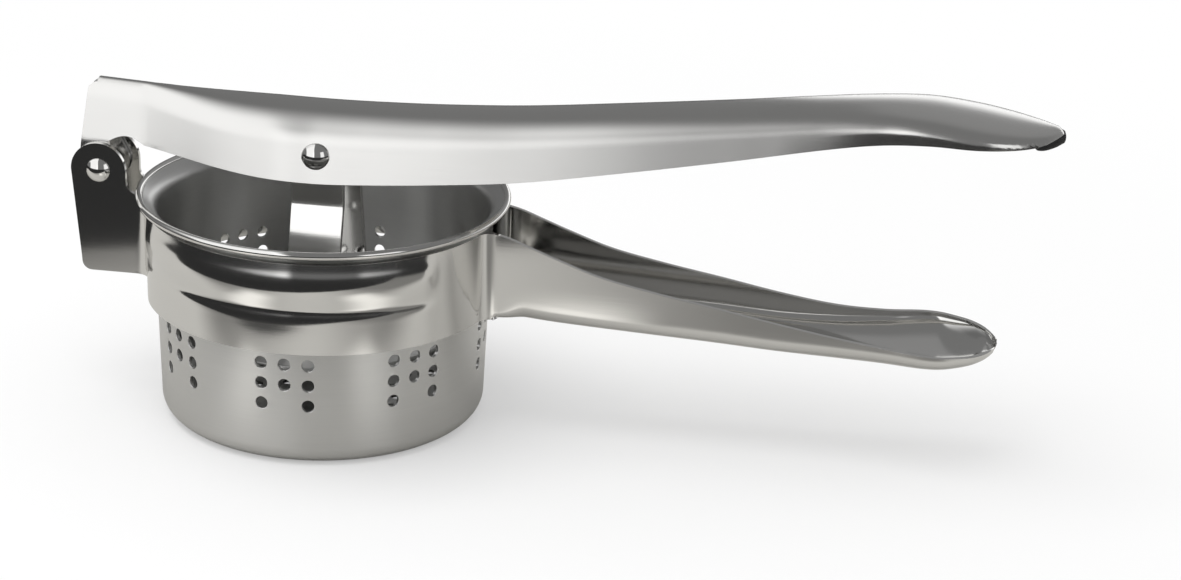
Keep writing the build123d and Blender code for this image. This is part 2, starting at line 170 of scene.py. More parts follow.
# Rivets: shank radius, head radius and head rise
HINGE_RIVET = (2.0, 2.95, 1.3)
PLUNGER_RIVET = (2.0, 3.45, 1.9)

# Where the lever's lean starts or ends along it, and over what length
PIVOT_LIFT = (0.06, 0.12)
EAR_LEAN = (0.05, 0.05)
LEAN_END = (0.72, 0.14)

# Stations along the lever: along, spread, lower edge, crown, dome, fullness
LEVER_STATIONS = [
    (0.070, 0.000, 0.0290, 0.0914, 0.34, 2.3),
    (0.110, 0.220, 0.0250, 0.0888, 0.38, 2.2),
    (0.160, 0.470, 0.0203, 0.0864, 0.41, 2.2),
    (0.207, 0.616, 0.0165, 0.0854, 0.42, 2.2),
    (0.258, 0.628, 0.0152, 0.0850, 0.42, 2.2),
    (0.310, 0.628, 0.0180, 0.0858, 0.42, 2.2),
    (0.380, 0.632, 0.0240, 0.0884, 0.42, 2.2),
    (0.465, 0.636, 0.0336, 0.0940, 0.42, 2.2),
    (0.570, 0.640, 0.0524, 0.1050, 0.44, 2.2),
    (0.675, 0.650, 0.0732, 0.1166, 0.46, 2.2),
    (0.760, 0.690, 0.0914, 0.1266, 0.50, 2.2),
    (0.820, 0.790, 0.1024, 0.1326, 0.56, 2.1),
    (0.870, 0.940, 0.1074, 0.1338, 0.62, 2.1),
    (0.915, 1.000, 0.1076, 0.1296, 0.70, 2.0),
    (0.952, 0.780, 0.1078, 0.1244, 0.76, 2.0),
    (0.978, 0.400, 0.1088, 0.1206, 0.80, 2.0),
    (0.992, 0.040, 0.1110, 0.1186, 0.84, 2.0),
    (1.000, -0.260, 0.1128, 0.1178, 0.86, 2.0),
]

# Stations along the handle: along, spread, open edge, crown, dome, fullness
HANDLE_STATIONS = [
    (0.000, 0.00, 0.880, 0.10, 0.30, 3.0),
    (0.065, 0.00, 0.755, 0.22, 0.32, 3.0),
    (0.160, 0.00, 0.590, 0.36, 0.36, 2.8),
    (0.275, 0.00, 0.465, 0.50, 0.42, 2.7),
    (0.410, 0.00, 0.345, 0.66, 0.50, 2.6),
    (0.540, 0.00, 0.225, 0.84, 0.58, 2.5),
    (0.660, 0.12, 0.135, 0.96, 0.72, 2.2),
    (0.765, 0.48, 0.095, 1.00, 0.82, 2.0),
    (0.845, 0.92, 0.085, 0.98, 0.86, 2.0),
    (0.885, 0.92, 0.080, 0.92, 0.87, 2.0),
    (0.920, 0.62, 0.075, 0.78, 0.87, 2.0),
    (0.950, 0.25, 0.070, 0.58, 0.87, 2.0),
    (0.975, -0.36, 0.066, 0.36, 0.87, 2.0),
    (0.991, -1.05, 0.062, 0.16, 0.84, 2.0),
    (1.000, -1.70, 0.060, 0.06, 0.86, 2.0),
]

# Rib of the collar: drop below the top edge and bulge, as shares
BEAD_PROFILE = [
    (0.00, 0.00), (0.08, 0.34), (0.16, 0.72), (0.24, 0.98), (0.30, 0.97),
    (0.38, 0.70), (0.45, 0.32), (0.505, 0.02), (0.53, 0.00), (0.56, 0.12),
    (0.60, 0.30), (0.64, 0.36), (0.70, 0.36), (1.00, 0.36),
]


class RicerSizes(bpy.types.PropertyGroup):
    """Sheet, edge and grain sizes of the dressed ricer."""

    lever_sheet: bpy.props.FloatProperty(
        name="Lever sheet", description="Thickness of the upper lever's sheet",
        default=0.0010, unit="LENGTH",
    )
    frame_sheet: bpy.props.FloatProperty(
        name="Frame sheet", description="Thickness of the collar and handle strip",
        default=0.0012, unit="LENGTH",
    )
    basket_wall: bpy.props.FloatProperty(
        name="Basket wall", description="Thickness of the drawn basket",
        default=0.0010, unit="LENGTH",
    )
    yoke_sheet: bpy.props.FloatProperty(
        name="Yoke sheet", description="Thickness of the yoke strip",
        default=0.0015, unit="LENGTH",
    )
    hole_radius: bpy.props.FloatProperty(
        name="Hole radius", description="Radius of the basket's punched holes",
        default=0.0015, unit="LENGTH",
    )
    rib_depth: bpy.props.FloatProperty(
        name="Rib depth", description="How far the collar's rolled rib stands out",
        default=0.0008, unit="LENGTH",
    )
    # Height of the black crescent along the rim of the lever's tip
    crescent_height: bpy.props.FloatProperty(
        name="Guard height", description="Height of the black edge guard at the lever's tip",
        default=0.0022, unit="LENGTH",
    )
    edge_round: bpy.props.FloatProperty(
        name="Edge rounding", description="Width of the polished round on cut sheet edges",
        default=0.00022, unit="LENGTH",
    )


class RicerFinishes(bpy.types.PropertyGroup):
    """Colours and polish of the ricer's steel and guard."""

    steel_colour: bpy.props.FloatVectorProperty(
        name="Steel", description="Reflected colour of the polished steel",
        subtype="COLOR", size=3, default=(0.77, 0.765, 0.75), min=0, max=1,
    )
    basket_colour: bpy.props.FloatVectorProperty(
        name="Basket steel", description="Reflected colour of the satin basket",
        subtype="COLOR", size=3, default=(0.70, 0.70, 0.69), min=0, max=1,
    )
    # Colour of the black crescent at the lever's tip
    crescent_colour: bpy.props.FloatVectorProperty(
        name="Guard", description="Colour of the black edge guard",
        subtype="COLOR", size=3, default=(0.008, 0.008, 0.009), min=0, max=1,
    )
    floor_colour: bpy.props.FloatVectorProperty(
        name="Floor", description="Colour of the pale floor",
        subtype="COLOR", size=3, default=(0.86, 0.86, 0.86), min=0, max=1,
    )
    # Painted reflection: the steel sees the floor in this darker, tinted colour, not in the floor's
    # own colour
    painted_reflection_colour: bpy.props.FloatVectorProperty(
        name="Reflected floor", description="Warm colour of the floor in the steel",
        subtype="COLOR", size=3, default=(0.53, 0.52, 0.495), min=0, max=1,
    )
    lever_roughness: bpy.props.FloatProperty(
        name="Lever roughness", description="Roughness of the satin upper lever",
        default=0.19, min=0, max=1, subtype="FACTOR",
    )
    polish_roughness: bpy.props.FloatProperty(
        name="Polish roughness", description="Roughness of the polished frame",
        default=0.09, min=0, max=1, subtype="FACTOR",
    )
    rivet_roughness: bpy.props.FloatProperty(
        name="Rivet roughness", description="Roughness of the polished rivet heads",
        default=0.05, min=0, max=1, subtype="FACTOR",
    )
    basket_roughness: bpy.props.FloatProperty(
        name="Basket roughness", description="Roughness of the brushed basket",
        default=0.30, min=0, max=1, subtype="FACTOR",
    )


def eased(share):
    share = min(max(share, 0.0), 1.0)
    return share * share * (3 - 2 * share)


def eased_from(at, start, run):
    return eased((at - start) / run)


def mixed(low, high, share):
    return low + (high - low) * share


def follow(table, at, column):
    """Reads one column of a table smoothly between its stations."""
    keys = [row[0] for row in table]
    values = [row[column] for row in table]
    last = len(keys) - 1
    at = min(max(at, keys[0]), keys[last])
    index = min(max(sum(key <= at for key in keys) - 1, 0), last - 1)

    def slope(i):
        before, after = max(i - 1, 0), min(i + 1, last)
        return (values[after] - values[before]) / (keys[after] - keys[before])

    span = keys[index + 1] - keys[index]
    t = (at - keys[index]) / span
    rise = values[index + 1] - values[index]
    start, end = slope(index) * span, slope(index + 1) * span
    bow = (start - 2 * rise + end) * t**3 + (3 * rise - 2 * start - end) * t**2
    return values[index] + start * t + bow


class Section:
    """Half of a bent sheet's section, measured as girth from its crown.

    Below its dome the wall leans out by the draft down to the ears, and by the
    ear draft from there on. At the pivot height it is as far out as half says.
    """

    steps = 28

    def __init__(self, half, crown, rise, fullness, draft=0.0, pivot=0.0, ear_draft=0.0):
        self.draft, self.ear_draft = draft, ear_draft
        half -= (crown - rise - pivot) * tan(draft)
        self.half, self.crown, self.rise = half, crown, rise
        power = 2 / fullness
        self.points = []
        for step in range(self.steps + 1):
            turn = pi / 2 * step / self.steps
            out = half * sin(turn) ** power
            up = rise * cos(turn) ** power
            self.points.append((out - up * tan(draft) * (out / half) ** 2, crown - rise + up))
        self.girths = [0.0]
        for a, b in zip(self.points, self.points[1:]):
            self.girths.append(self.girths[-1] + hypot(b[0] - a[0], b[1] - a[1]))
        self.dome = self.girths[-1]
        self.spring = crown - rise
        self.knee = max(self.spring - EAR_TOP, 0.0) / cos(draft) if rise > 0 else 0.0

    def at(self, girth):
        """Distance out from the middle plane and height, at a girth."""
        if girth >= self.dome:
            down = 1 if self.rise > 0 else -1
            reach = girth - self.dome
            high = min(reach, self.knee)
            low = reach - high
            out = self.half + high * sin(self.draft) + low * sin(self.ear_draft)
            return out, self.spring - down * (high * cos(self.draft) + low * cos(self.ear_draft))
        index = min(max(sum(g <= girth for g in self.girths) - 1, 0), self.steps - 1)
        span = self.girths[index + 1] - self.girths[index]
        t = (girth - self.girths[index]) / max(span, 1e-9)
        a, b = self.points[index], self.points[index + 1]
        return mixed(a[0], b[0], t), mixed(a[1], b[1], t)

    def girth_of(self, height):
        drop = abs(self.spring - height)
        high = min(drop, self.knee * cos(self.draft))
        return self.dome + high / cos(self.draft) + (drop - high) / cos(self.ear_draft)


def arc_points(centre, radius, start, end, count):
    """Points round a circle, from one angle in degrees to another."""
    turns = [radians(mixed(start, end, i / count)) for i in range(count + 1)]
    return [(centre[0] + radius * cos(t), centre[1] + radius * sin(t)) for t in turns]


def even_line(points, step):
    """Divides a run of points so that none is further apart than a step."""
    dense = []
    for a, b in zip(points, points[1:]):
        count = max(1, int(hypot(b[0] - a[0], b[1] - a[1]) / step + 0.5))
        shares = [i / count for i in range(count)]
        dense += [(mixed(a[0], b[0], share), mixed(a[1], b[1], share)) for share in shares]
    return dense + [points[-1]]


def closing(past, reach):
    """How far a round end is still open, at a length past the last station."""
    blunt = 0.2
    return sqrt(max(1 - (max(past, 0.0) / reach) ** 2, blunt))


def remembered(section_at):
    """Keeps the sections already worked out, by their place to 0.01 mm."""
    sections = {}

    def section(x):
        key = round(x, 2)
        if key not in sections:
            sections[key] = section_at(key)
        return sections[key]

    return section


def spaced(low, high, step):
    count = max(1, round((high - low) / step))
    return [mixed(low, high, i / count) for i in range(count + 1)]


def inside(points, loop):
    """Which points lie inside a closed loop."""
    x, y = points[:, 0], points[:, 1]
    found = np.zeros(len(points), bool)
    for a, b in zip(loop, np.roll(loop, -1, axis=0)):
        crosses = (a[1] > y) != (b[1] > y)
        rise = b[1] - a[1] if abs(b[1] - a[1]) > 1e-12 else 1e-12
        found ^= crosses & (x < (b[0] - a[0]) * (y - a[1]) / rise + a[0])
    return found


def edge_distance(points, loop):
    """Distance of each point from a closed loop."""
    nearest = np.full(len(points), 1e9)
    for a, b in zip(loop, np.roll(loop, -1, axis=0)):
        along = b - a
        length = max(along @ along, 1e-12)
        t = np.clip(((points - a) @ along) / length, 0, 1)
        nearest = np.minimum(nearest, np.hypot(*(points - a - t[:, None] * along).T))
    return nearest


def cut_blank(outline, holes, columns, rows, margin):
    """Cuts a flat blank along its outline, with its holes, and nets it finely."""
    lattice = np.array([(c, r) for c in columns for r in rows])
    loop = np.array(outline)
    lattice = lattice[inside(lattice, loop)]
    lattice = lattice[edge_distance(lattice, loop) > margin]
    for hole in holes:
        rim = np.array(hole)
        middle = rim.mean(axis=0)
        reach = np.hypot(*(rim - middle).T).max() + 2 * margin
        near = np.hypot(*(lattice - middle).T) < reach
        keep = ~near
        keep[near] = ~inside(lattice[near], rim) & (edge_distance(lattice[near], rim) > margin)
        lattice = lattice[keep]
    points, edges = [], []
    for ring in [outline] + list(holes):
        first = len(points)
        points += [Vector(p) for p in ring]
        count = len(ring)
        edges += [(first + i, first + (i + 1) % count) for i in range(count)]
    points += [Vector(p) for p in lattice]
    flat, _, faces, *_ = delaunay_2d_cdt(points, edges, [], 1, 1e-6)
    corners = np.array([tuple(p) for p in flat])
    middles = np.array([corners[list(face)].mean(axis=0) for face in faces])
    kept = inside(middles, loop)
    for hole in holes:
        kept &= ~inside(middles, np.array(hole))
    return [tuple(c) for c in corners], [tuple(f) for f, k in zip(faces, kept) if k]


def bend_blank(blank, place):
    """Bends a flat blank into shape."""
    corners, faces = blank
    return [place(*corner) for corner in corners], faces


def mirrored(skin):
    points, faces = skin
    return [(x, -y, z) for x, y, z in points], [tuple(reversed(f)) for f in faces]


def turned(skin, angle):
    points, faces = skin
    c, s = cos(angle), sin(angle)
    return [(x * c - y * s, x * s + y * c, z) for x, y, z in points], faces


def lathe(profile, columns=144):
    """Turns a profile of radius and height round the upright axis."""
    points, faces, rings = [], [], []
    for radius, height in profile:
        if radius < 1e-9:
            rings.append([len(points)] * columns)
            points.append((0, 0, height))
            continue
        rings.append(list(range(len(points), len(points) + columns)))
        turns = [2 * pi * i / columns for i in range(columns)]
        points += [(radius * cos(t), radius * sin(t), height) for t in turns]
    for low, high in zip(rings, rings[1:]):
        for i in range(columns):
            j = (i + 1) % columns
            corners = list(dict.fromkeys([low[i], low[j], high[j], high[i]]))
            if len(corners) > 2:
                faces.append(tuple(corners))
    return points, faces


def mesh_of(name, skins):
    """Joins skins, given in millimetres, into one mesh with outward faces."""
    mesh = bpy.data.meshes.new(name)
    net = bmesh.new()
    for points, faces in skins:
        corners = [net.verts.new(Vector(p) * MM) for p in points]
        for face in faces:
            try:
                net.faces.new([corners[i] for i in face])
            except ValueError:
                continue
    bmesh.ops.remove_doubles(net, verts=net.verts, dist=0.00002)
    bmesh.ops.recalc_face_normals(net, faces=net.faces)
    loose = [v for v in net.verts if not v.link_faces]
    bmesh.ops.delete(net, geom=loose, context="VERTS")
    for face in net.faces:
        face.smooth = True
    net.to_mesh(mesh)
    net.free()
    return mesh


def faces_point(mesh, toward):
    """Flips a skin so that its face nearest a point looks at it."""
    toward = Vector(toward) * MM
    nearest = min(mesh.polygons, key=lambda face: (face.center - toward).length)
    if nearest.normal.dot(toward - nearest.center) < 0:
        mesh.flip_normals()


def add_piece(name, mesh, body, nodes=()):
    piece = bpy.data.objects.new(name, mesh)
    bpy.context.scene.collection.objects.link(piece)
    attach(piece, body)
    if nodes:
        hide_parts(*nodes)
    return piece


def sheet_piece(name, skins, thickness, body, nodes, toward, thin_from=None):
    """A pressed sheet: the outer skin, its thickness inward and rounded cut edges.

    From thin_from on, in millimetres along X, the sheet thins towards its tip.
    """
    skin = mesh_of(name, skins)
    faces_point(skin, toward)
    piece = bpy.data.objects.new(name, skin)
    bpy.context.scene.collection.objects.link(piece)
    shell = piece.modifiers.new("Sheet", "SOLIDIFY")
    shell.thickness = thickness
    shell.offset = -1
    shell.use_even_offset = True
    if thin_from is not None:
        group = piece.vertex_groups.new(name="Sheet_thickness")
        for corner in skin.vertices:
            thinned = eased((corner.co.x / MM - thin_from) / TIP_TAPER)
            share = 1 - TIP_THINNING * thinned
            group.add([corner.index], share, "REPLACE")
        shell.vertex_group = group.name
        shell.thickness_vertex_group = 0.0
    bpy.context.view_layer.update()
    evaluated = piece.evaluated_get(bpy.context.evaluated_depsgraph_get())
    whole = bpy.data.meshes.new_from_object(evaluated)
    whole.name = name
    piece.modifiers.clear()
    piece.data = whole
    bpy.data.meshes.remove(skin)
    whole.set_sharp_from_angle(angle=radians(50))
    round_edges(piece, bpy.context.scene.ricer_sizes.edge_round)
    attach(piece, body)
    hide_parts(*nodes)
    return piece


def round_edges(piece, width):
    bevel = piece.modifiers.new("Rounded edges", "BEVEL")
    bevel.width = width
    bevel.segments = 2
    bevel.limit_method = "ANGLE"
    bevel.angle_limit = radians(50)
    bevel.harden_normals = True


class Field:
    """A socket in a node tree that can be used in sums."""

    def __init__(self, tree, socket):
        self.tree, self.socket = tree, socket

    def combined(self, operation, other, swapped=False):
        pair = [other, self] if swapped else [self, other]
        return self.tree.add("ShaderNodeMath", {"operation": operation}, {0: pair[0], 1: pair[1]})

    def __add__(self, other):
        return self.combined("ADD", other)

    def __sub__(self, other):
        return self.combined("SUBTRACT", other)

    def __rsub__(self, other):
        return self.combined("SUBTRACT", other, swapped=True)

    def __mul__(self, other):
        return self.combined("MULTIPLY", other)

    __radd__ = __add__
    __rmul__ = __mul__


class Tree:
    """A node tree whose nodes are added with their settings and inputs."""

    def __init__(self, nodes_of):
        nodes_of.use_nodes = True
        self.nodes = nodes_of.node_tree.nodes
        self.links = nodes_of.node_tree.links
        self.nodes.clear()

    def add(self, kind, settings=None, inputs=None, output=0):
        """Adds a node, sets it, fills or links its sockets and gives one output."""
        node = self.nodes.new(kind)
        for name, value in (settings or {}).items():
            setattr(node, name, value)
        for key, value in (inputs or {}).items():
            if isinstance(value, Field):
                self.links.new(value.socket, node.inputs[key])
            else:
                node.inputs[key].default_value = value
        return Field(self, node.outputs[output]) if node.outputs else node

    def mapped(self, scale, coordinates="Object"):
        place = self.add("ShaderNodeTexCoord", output=coordinates)
        return self.add("ShaderNodeMapping", None, {"Vector": place, "Scale": scale})

    def noise(self, scale, coordinates="Object", detail=2.0, roughness=0.5, distortion=0.0):
        vector = self.mapped(scale, coordinates)
        values = {
            "Vector": vector, "Scale": 1.0, "Detail": detail,
            "Roughness": roughness, "Distortion": distortion,
        }
        return self.add("ShaderNodeTexNoise", None, values)

    def risen(self, value, low, high):
        """Runs smoothly from 0 at a low value to 1 at a high one."""
        return self.add(
            "ShaderNodeMapRange", {"interpolation_type": "SMOOTHSTEP"},
            {"Value": value, "From Min": low, "From Max": high},
        )

    def band(self, value, low, high, soft):
        """1 between two values, with soft ends."""
        past = self.risen(value, high - soft, high + soft)
        return self.risen(value, low - soft, low + soft) * (1 - past)

    def finish(self, shader, output="ShaderNodeOutputMaterial"):
        self.add(output, None, {"Surface": shader})


def steel(name, colour, roughness, grain, grain_depth, streak=0.04, anisotropy=0.0):
    """Bare steel with a brushed grain, faint cloudiness and handling marks."""
    material = bpy.data.materials.get(name) or bpy.data.materials.new(name)
    tree = Tree(material)
    lines = tree.noise(grain, detail=3.0, roughness=0.65)
    broad = tree.noise(tuple(g * 0.22 for g in grain), detail=2.0)
    cloud = tree.noise((28.0, 28.0, 28.0), detail=3.0, roughness=0.55, distortion=0.6)
    specks = tree.noise((900.0, 900.0, 900.0), detail=1.0)
    shade = 1.0 - streak * 0.5 + lines * streak * 0.6 + broad * streak * 0.4
    tint = tree.add(
        "ShaderNodeMix", {"data_type": "RGBA", "blend_type": "MULTIPLY"},
        {0: 1.0, 6: (*colour, 1.0), 7: tree.add(
            "ShaderNodeCombineColor", None, {0: shade, 1: shade, 2: shade})},
        output=2,
    )
    polish = roughness * 0.84 + cloud * (roughness * 0.22) + lines * (roughness * 0.18)
    height = lines * 0.7 + broad * 0.2 + specks * 0.1
    bump = tree.add(
        "ShaderNodeBump", None, {"Strength": 1.0, "Distance": grain_depth, "Height": height},
    )
    shader = tree.add("ShaderNodeBsdfPrincipled", None, {
        "Base Color": tint, "Metallic": 1.0, "Roughness": polish, "Normal": bump,
        "Anisotropic": anisotropy, "Anisotropic Rotation": 0.25,
    })
    tree.finish(shader)
    return material


def black_crescent_material(name, colour):
    """Matt black with a fine grain, for the black crescent at the lever's tip."""
    material = bpy.data.materials.get(name) or bpy.data.materials.new(name)
    tree = Tree(material)
    grain = tree.noise((2600.0, 2600.0, 2600.0), detail=2.0)
    bump = tree.add(
        "ShaderNodeBump", None, {"Strength": 0.5, "Distance": 0.00003, "Height": grain},
    )
    shader = tree.add("ShaderNodeBsdfPrincipled", None, {
        "Base Color": (*colour, 1.0), "Roughness": 0.55 + grain * 0.1, "Normal": bump,
    })
    tree.finish(shader)
    return material


def dress(piece, material):
    piece.data.materials.clear()
    piece.data.materials.append(material)


def finishes():
    """The ricer's materials, made once and shared."""
    looks = bpy.context.scene.ricer_finishes
    along_x = (45.0, 2400.0, 2400.0)
    round_z = (60.0, 60.0, 3200.0)
    even = (300.0, 300.0, 300.0)
    return {
        "lever": steel(
            "Satin_lever_steel", looks.steel_colour, looks.lever_roughness, along_x, 0.000004,
        ),
        "polish": steel(
            "Polished_frame_steel", looks.steel_colour, looks.polish_roughness, along_x, 0.000002,
        ),
        "basket": steel(
            "Brushed_basket_steel", looks.basket_colour, looks.basket_roughness,
            round_z, 0.000006, streak=0.10, anisotropy=0.8,
        ),
        "rivet": steel("Rivet_steel", looks.steel_colour, looks.rivet_roughness, even, 0.0000005),
        # The matt black crescent along the rim of the lever's tip
        "guard": black_crescent_material("Black_crescent_finish", looks.crescent_colour),
    }


def basket_profile():
    """Outer side of the basket's wall above its base corner: radius and height."""
    corner = BASE_CORNER
    lean = atan2(BASKET_RADIUS - BASKET_FOOT_RADIUS, LIP_START)
    profile = []
    for i in range(13):
        turn = -pi / 2 + (pi / 2 - lean) * i / 12
        centre = BASKET_FOOT_RADIUS + 0.13 - corner
        profile.append((centre + corner * cos(turn), corner + corner * sin(turn)))
    start = profile[-1]
    for height in spaced(start[1], LIP_START, 1.6)[1:]:
        share = (height - start[1]) / (LIP_START - start[1])
        profile.append((mixed(start[0], BASKET_RADIUS, share), height))
    for i in range(1, 9):
        turn = LIP_TURN * i / 8
        profile.append((
            BASKET_RADIUS + LIP_BEND * (1 - cos(turn)), LIP_START + LIP_BEND * sin(turn),
        ))
    out, up = profile[-1]
    reach = LIP_RADIUS - LIP_ROLL * 1.4 - out
    for i in range(1, 5):
        profile.append((out + reach * i / 4, up + reach * i / 4 * tan(pi / 2 - LIP_TURN)))
    return profile


def basket_skins(hole_radius):
    """The drawn cup: perforated wall sectors and a perforated floor."""
    profile = basket_profile()
    heights = [height for _, height in profile]
    radii = [radius for radius, _ in profile]

    def place(angle, place_along):
        index = min(int(place_along), len(profile) - 2)
        t = place_along - index
        radius = mixed(radii[index], radii[index + 1], t)
        height = mixed(heights[index], heights[index + 1], t)
        turn = angle / BASKET_RADIUS
        return radius * cos(turn), radius * sin(turn), height

    def level(height):
        for i in range(len(heights) - 1):
            if heights[i] <= height <= heights[i + 1]:
                return i + (height - heights[i]) / (heights[i + 1] - heights[i])
        return float(len(heights) - 1)

    half = BASKET_RADIUS * pi / 8
    stretch = (level(30.0) - level(20.0)) / 10.0
    holes = []
    for column in (-1, 0, 1):
        for row, height in enumerate(HOLE_ROWS):
            if column == 0 and row == 0:
                continue
            ring = arc_points((0, 0), hole_radius, 0, 345, 23)
            holes.append([
                (column * HOLE_COLUMN + x, (level(height) + z * stretch)) for x, z in ring
            ])
    # The blank is scaled so that its rows are as far apart as they are on the wall
    scale = 1 / stretch
    top = len(profile) - 1
    columns = spaced(-half, half, 1.35)
    outline = [(c, 0.0) for c in columns]
    outline += [(half, float(r) * scale) for r in range(1, top + 1)]
    outline += [(c, top * scale) for c in reversed(columns[:-1])]
    outline += [(-half, float(r) * scale) for r in range(top - 1, 0, -1)]
    rings = [[(x, z * scale) for x, z in ring] for ring in holes]
    rows = [r * scale for r in range(1, top)]
    blank = cut_blank(outline, rings, columns[1:-1], rows, 0.42)
    sector = bend_blank(blank, lambda x, z: place(x, min(max(z / scale, 0.0), float(top))))
    skins = [turned(sector, pi / 4 * group) for group in range(8)]
    return skins + [basket_floor(hole_radius, radii[0], len(columns) - 1)]


def basket_floor(hole_radius, rim, sector_columns):
    count = 8 * sector_columns
    offset = degrees(pi / 8)
    outline = arc_points((0, 0), rim, offset, offset + 360, count)[:-1]
    holes = []
    for ring in range(2, 6):
        number = 6 * ring
        for step in range(number):
            turn = 2 * pi * (step + ring % 2 / 2) / number
            centre = (ring * FLOOR_PITCH * cos(turn), ring * FLOOR_PITCH * sin(turn))
            holes.append(arc_points(centre, hole_radius, 0, 340, 17))
    grid = spaced(-rim, rim, 2.4)
    blank = cut_blank(outline, holes, grid, grid, 0.5)
    return bend_blank(blank, lambda x, y: (x, y, 0.0))


def lip_bead():
    """The solid roll round the basket's lip."""
    middle = LIP_RADIUS - LIP_ROLL
    ring = arc_points((middle, BASKET_HEIGHT), LIP_ROLL, 0, 360, 20)
    return lathe(ring, 192)


def lever_section(x):
    along = (x - LEVER_START) / LEVER_LENGTH
    first = LEVER_STATIONS[0]
    if along < first[0]:
        share = along / first[0]
        crown = mixed(TAIL_CROWN, first[3], share)
        rise = mixed(TAIL_RISE, (first[3] - first[2]) * first[4], share)
        fullness = mixed(TAIL_FULLNESS, first[5], share)
        half = EAR_HALF
    else:
        spread, edge, crown, dome, fullness = (
            follow(LEVER_STATIONS, along, column) for column in range(1, 6)
        )
        close = closing(x - LEVER_START - LEVER_LENGTH, LEVER_TIP_ROUND)
        half = (EAR_HALF + (GRIP_HALF - EAR_HALF) * spread) * close
        crown = mixed(edge, crown, close)
        rise = (crown - edge) * dome
    past_ears = eased_from(along, *PIVOT_LIFT)
    draft = LEVER_DRAFT * (1 - eased_from(along, *LEAN_END))
    edge = follow(LEVER_STATIONS, along, 2)
    pivot = HINGE[1] + mixed(edge, crown, DRAFT_PIVOT * past_ears) * LEVER_LENGTH
    return Section(
        half, HINGE[1] + crown * LEVER_LENGTH, rise * LEVER_LENGTH, fullness,
        draft, pivot, draft * eased_from(along, *EAR_LEAN),
    )


def rim_height(x):
    """Height of the lever's cut edge."""
    along = (x - LEVER_START) / LEVER_LENGTH
    return HINGE[1] + follow(LEVER_STATIONS, along, 2) * LEVER_LENGTH


def lever_side():
    """Side view of the lever's cut edge, from its leaning end to its tip."""
    first = LEVER_STATIONS[0]
    tail_end = LEVER_START + first[0] * LEVER_LENGTH
    tail_edge = HINGE[1] + first[2] * LEVER_LENGTH
    notch_rise = NOTCH_RISE * LEVER_LENGTH
    neck = LEVER_START + 1.4 * EAR_RADIUS
    tail_top = (LEVER_START + TAIL_LEAN * TAIL_HEIGHT, HINGE[1] + TAIL_HEIGHT)
    edge = even_line([tail_top, (LEVER_START, HINGE[1])], 1.2)
    edge += arc_points(HINGE, EAR_RADIUS, 180, 388, 30)
    edge += [(neck + 1.05, tail_edge - 1.4), (neck + 0.75, tail_edge + 0.3)]
    for i in range(1, 13):
        share = i / 12
        x = mixed(neck + 0.75, tail_end, share)
        edge.append((x, tail_edge + 0.3 * (1 - share) + notch_rise * sin(pi * share)))
    end = LEVER_START + LEVER_LENGTH
    fine = [end + LEVER_TIP_ROUND * sin(pi / 2 * i / 6) for i in range(1, 7)]
    for x in spaced(tail_end, end, 1.1)[1:] + fine:
        edge.append((x, rim_height(x)))
    return edge


def lever_skin():
    section = remembered(lever_section)

    def place(x, girth):
        out, height = section(x).at(abs(girth))
        return x, out if girth > 0 else -out, height

    side = [(x, section(x).girth_of(z)) for x, z in lever_side()]
    top_girth = side[0][1]
    across = spaced(-top_girth, top_girth, 0.8)[1:-1]
    tail = []
    for girth in across:
        height = section(LEVER_START + 2).at(abs(girth))[1]
        cut_back = TAIL_CORNER * eased((height - TAIL_CORNER_FROM) / 2.2)
        tail.append((LEVER_START + TAIL_LEAN * (height - HINGE[1]) + cut_back, girth))
    near = [(x, -g) for x, g in side]
    outline = near + list(reversed(side)) + list(reversed(tail))
    bores = []
    for sign in (-1, 1):
        ring = arc_points(HINGE, BORE_RADIUS, 0, 345, 23)
        bores.append([(x, sign * section(x).girth_of(z)) for x, z in ring])
    deepest = max(g for _, g in side)
    rows = spaced(-deepest, deepest, 0.8)
    columns = spaced(LEVER_START, LEVER_START + LEVER_LENGTH, 1.1)
    blank = cut_blank(outline, bores, columns, rows, 0.38)
    return bend_blank(blank, place)


def tip_crescent(height):
    """A black crescent: a tapering roll pressed along the rim of the lever's tip, where the tip's
    rim shows black.
    """
    end = LEVER_START + LEVER_LENGTH + LEVER_TIP_ROUND
    side = []
    for i in range(25):
        x = end - CRESCENT_LENGTH * (1 - sin(pi / 2 * i / 24))
        side.append(Vector((x, -lever_section(x).half, rim_height(x))))
    path = side + [Vector((p.x, -p.y, p.z)) for p in reversed(side[:-1])]
    path[len(side) - 1].y = 0.0
    points, faces, around = [], [], 12
    for i, middle in enumerate(path):
        ahead = path[min(i + 1, len(path) - 1)] - path[max(i - 1, 0)]
        out = Vector((-ahead.y, ahead.x, 0.0)).normalized() * -1
        swell = max(sin(pi * i / (len(path) - 1)), 0.0) ** 0.45 + 0.02
        tall, wide = height / 2 * swell, 0.4 * swell
        for step in range(around):
            turn = 2 * pi * step / around
            corner = middle + out * (wide * cos(turn) - 0.1)
            points.append(tuple(corner + Vector((0, 0, tall * sin(turn) - tall * 0.7))))
    for i in range(len(path) - 1):
        for step in range(around):
            j = (step + 1) % around
            a, b = i * around, (i + 1) * around
            faces.append((a + step, a + j, b + j, b + step))
    last = (len(path) - 1) * around
    return points, faces + [tuple(range(around)), tuple(range(last, last + around))]


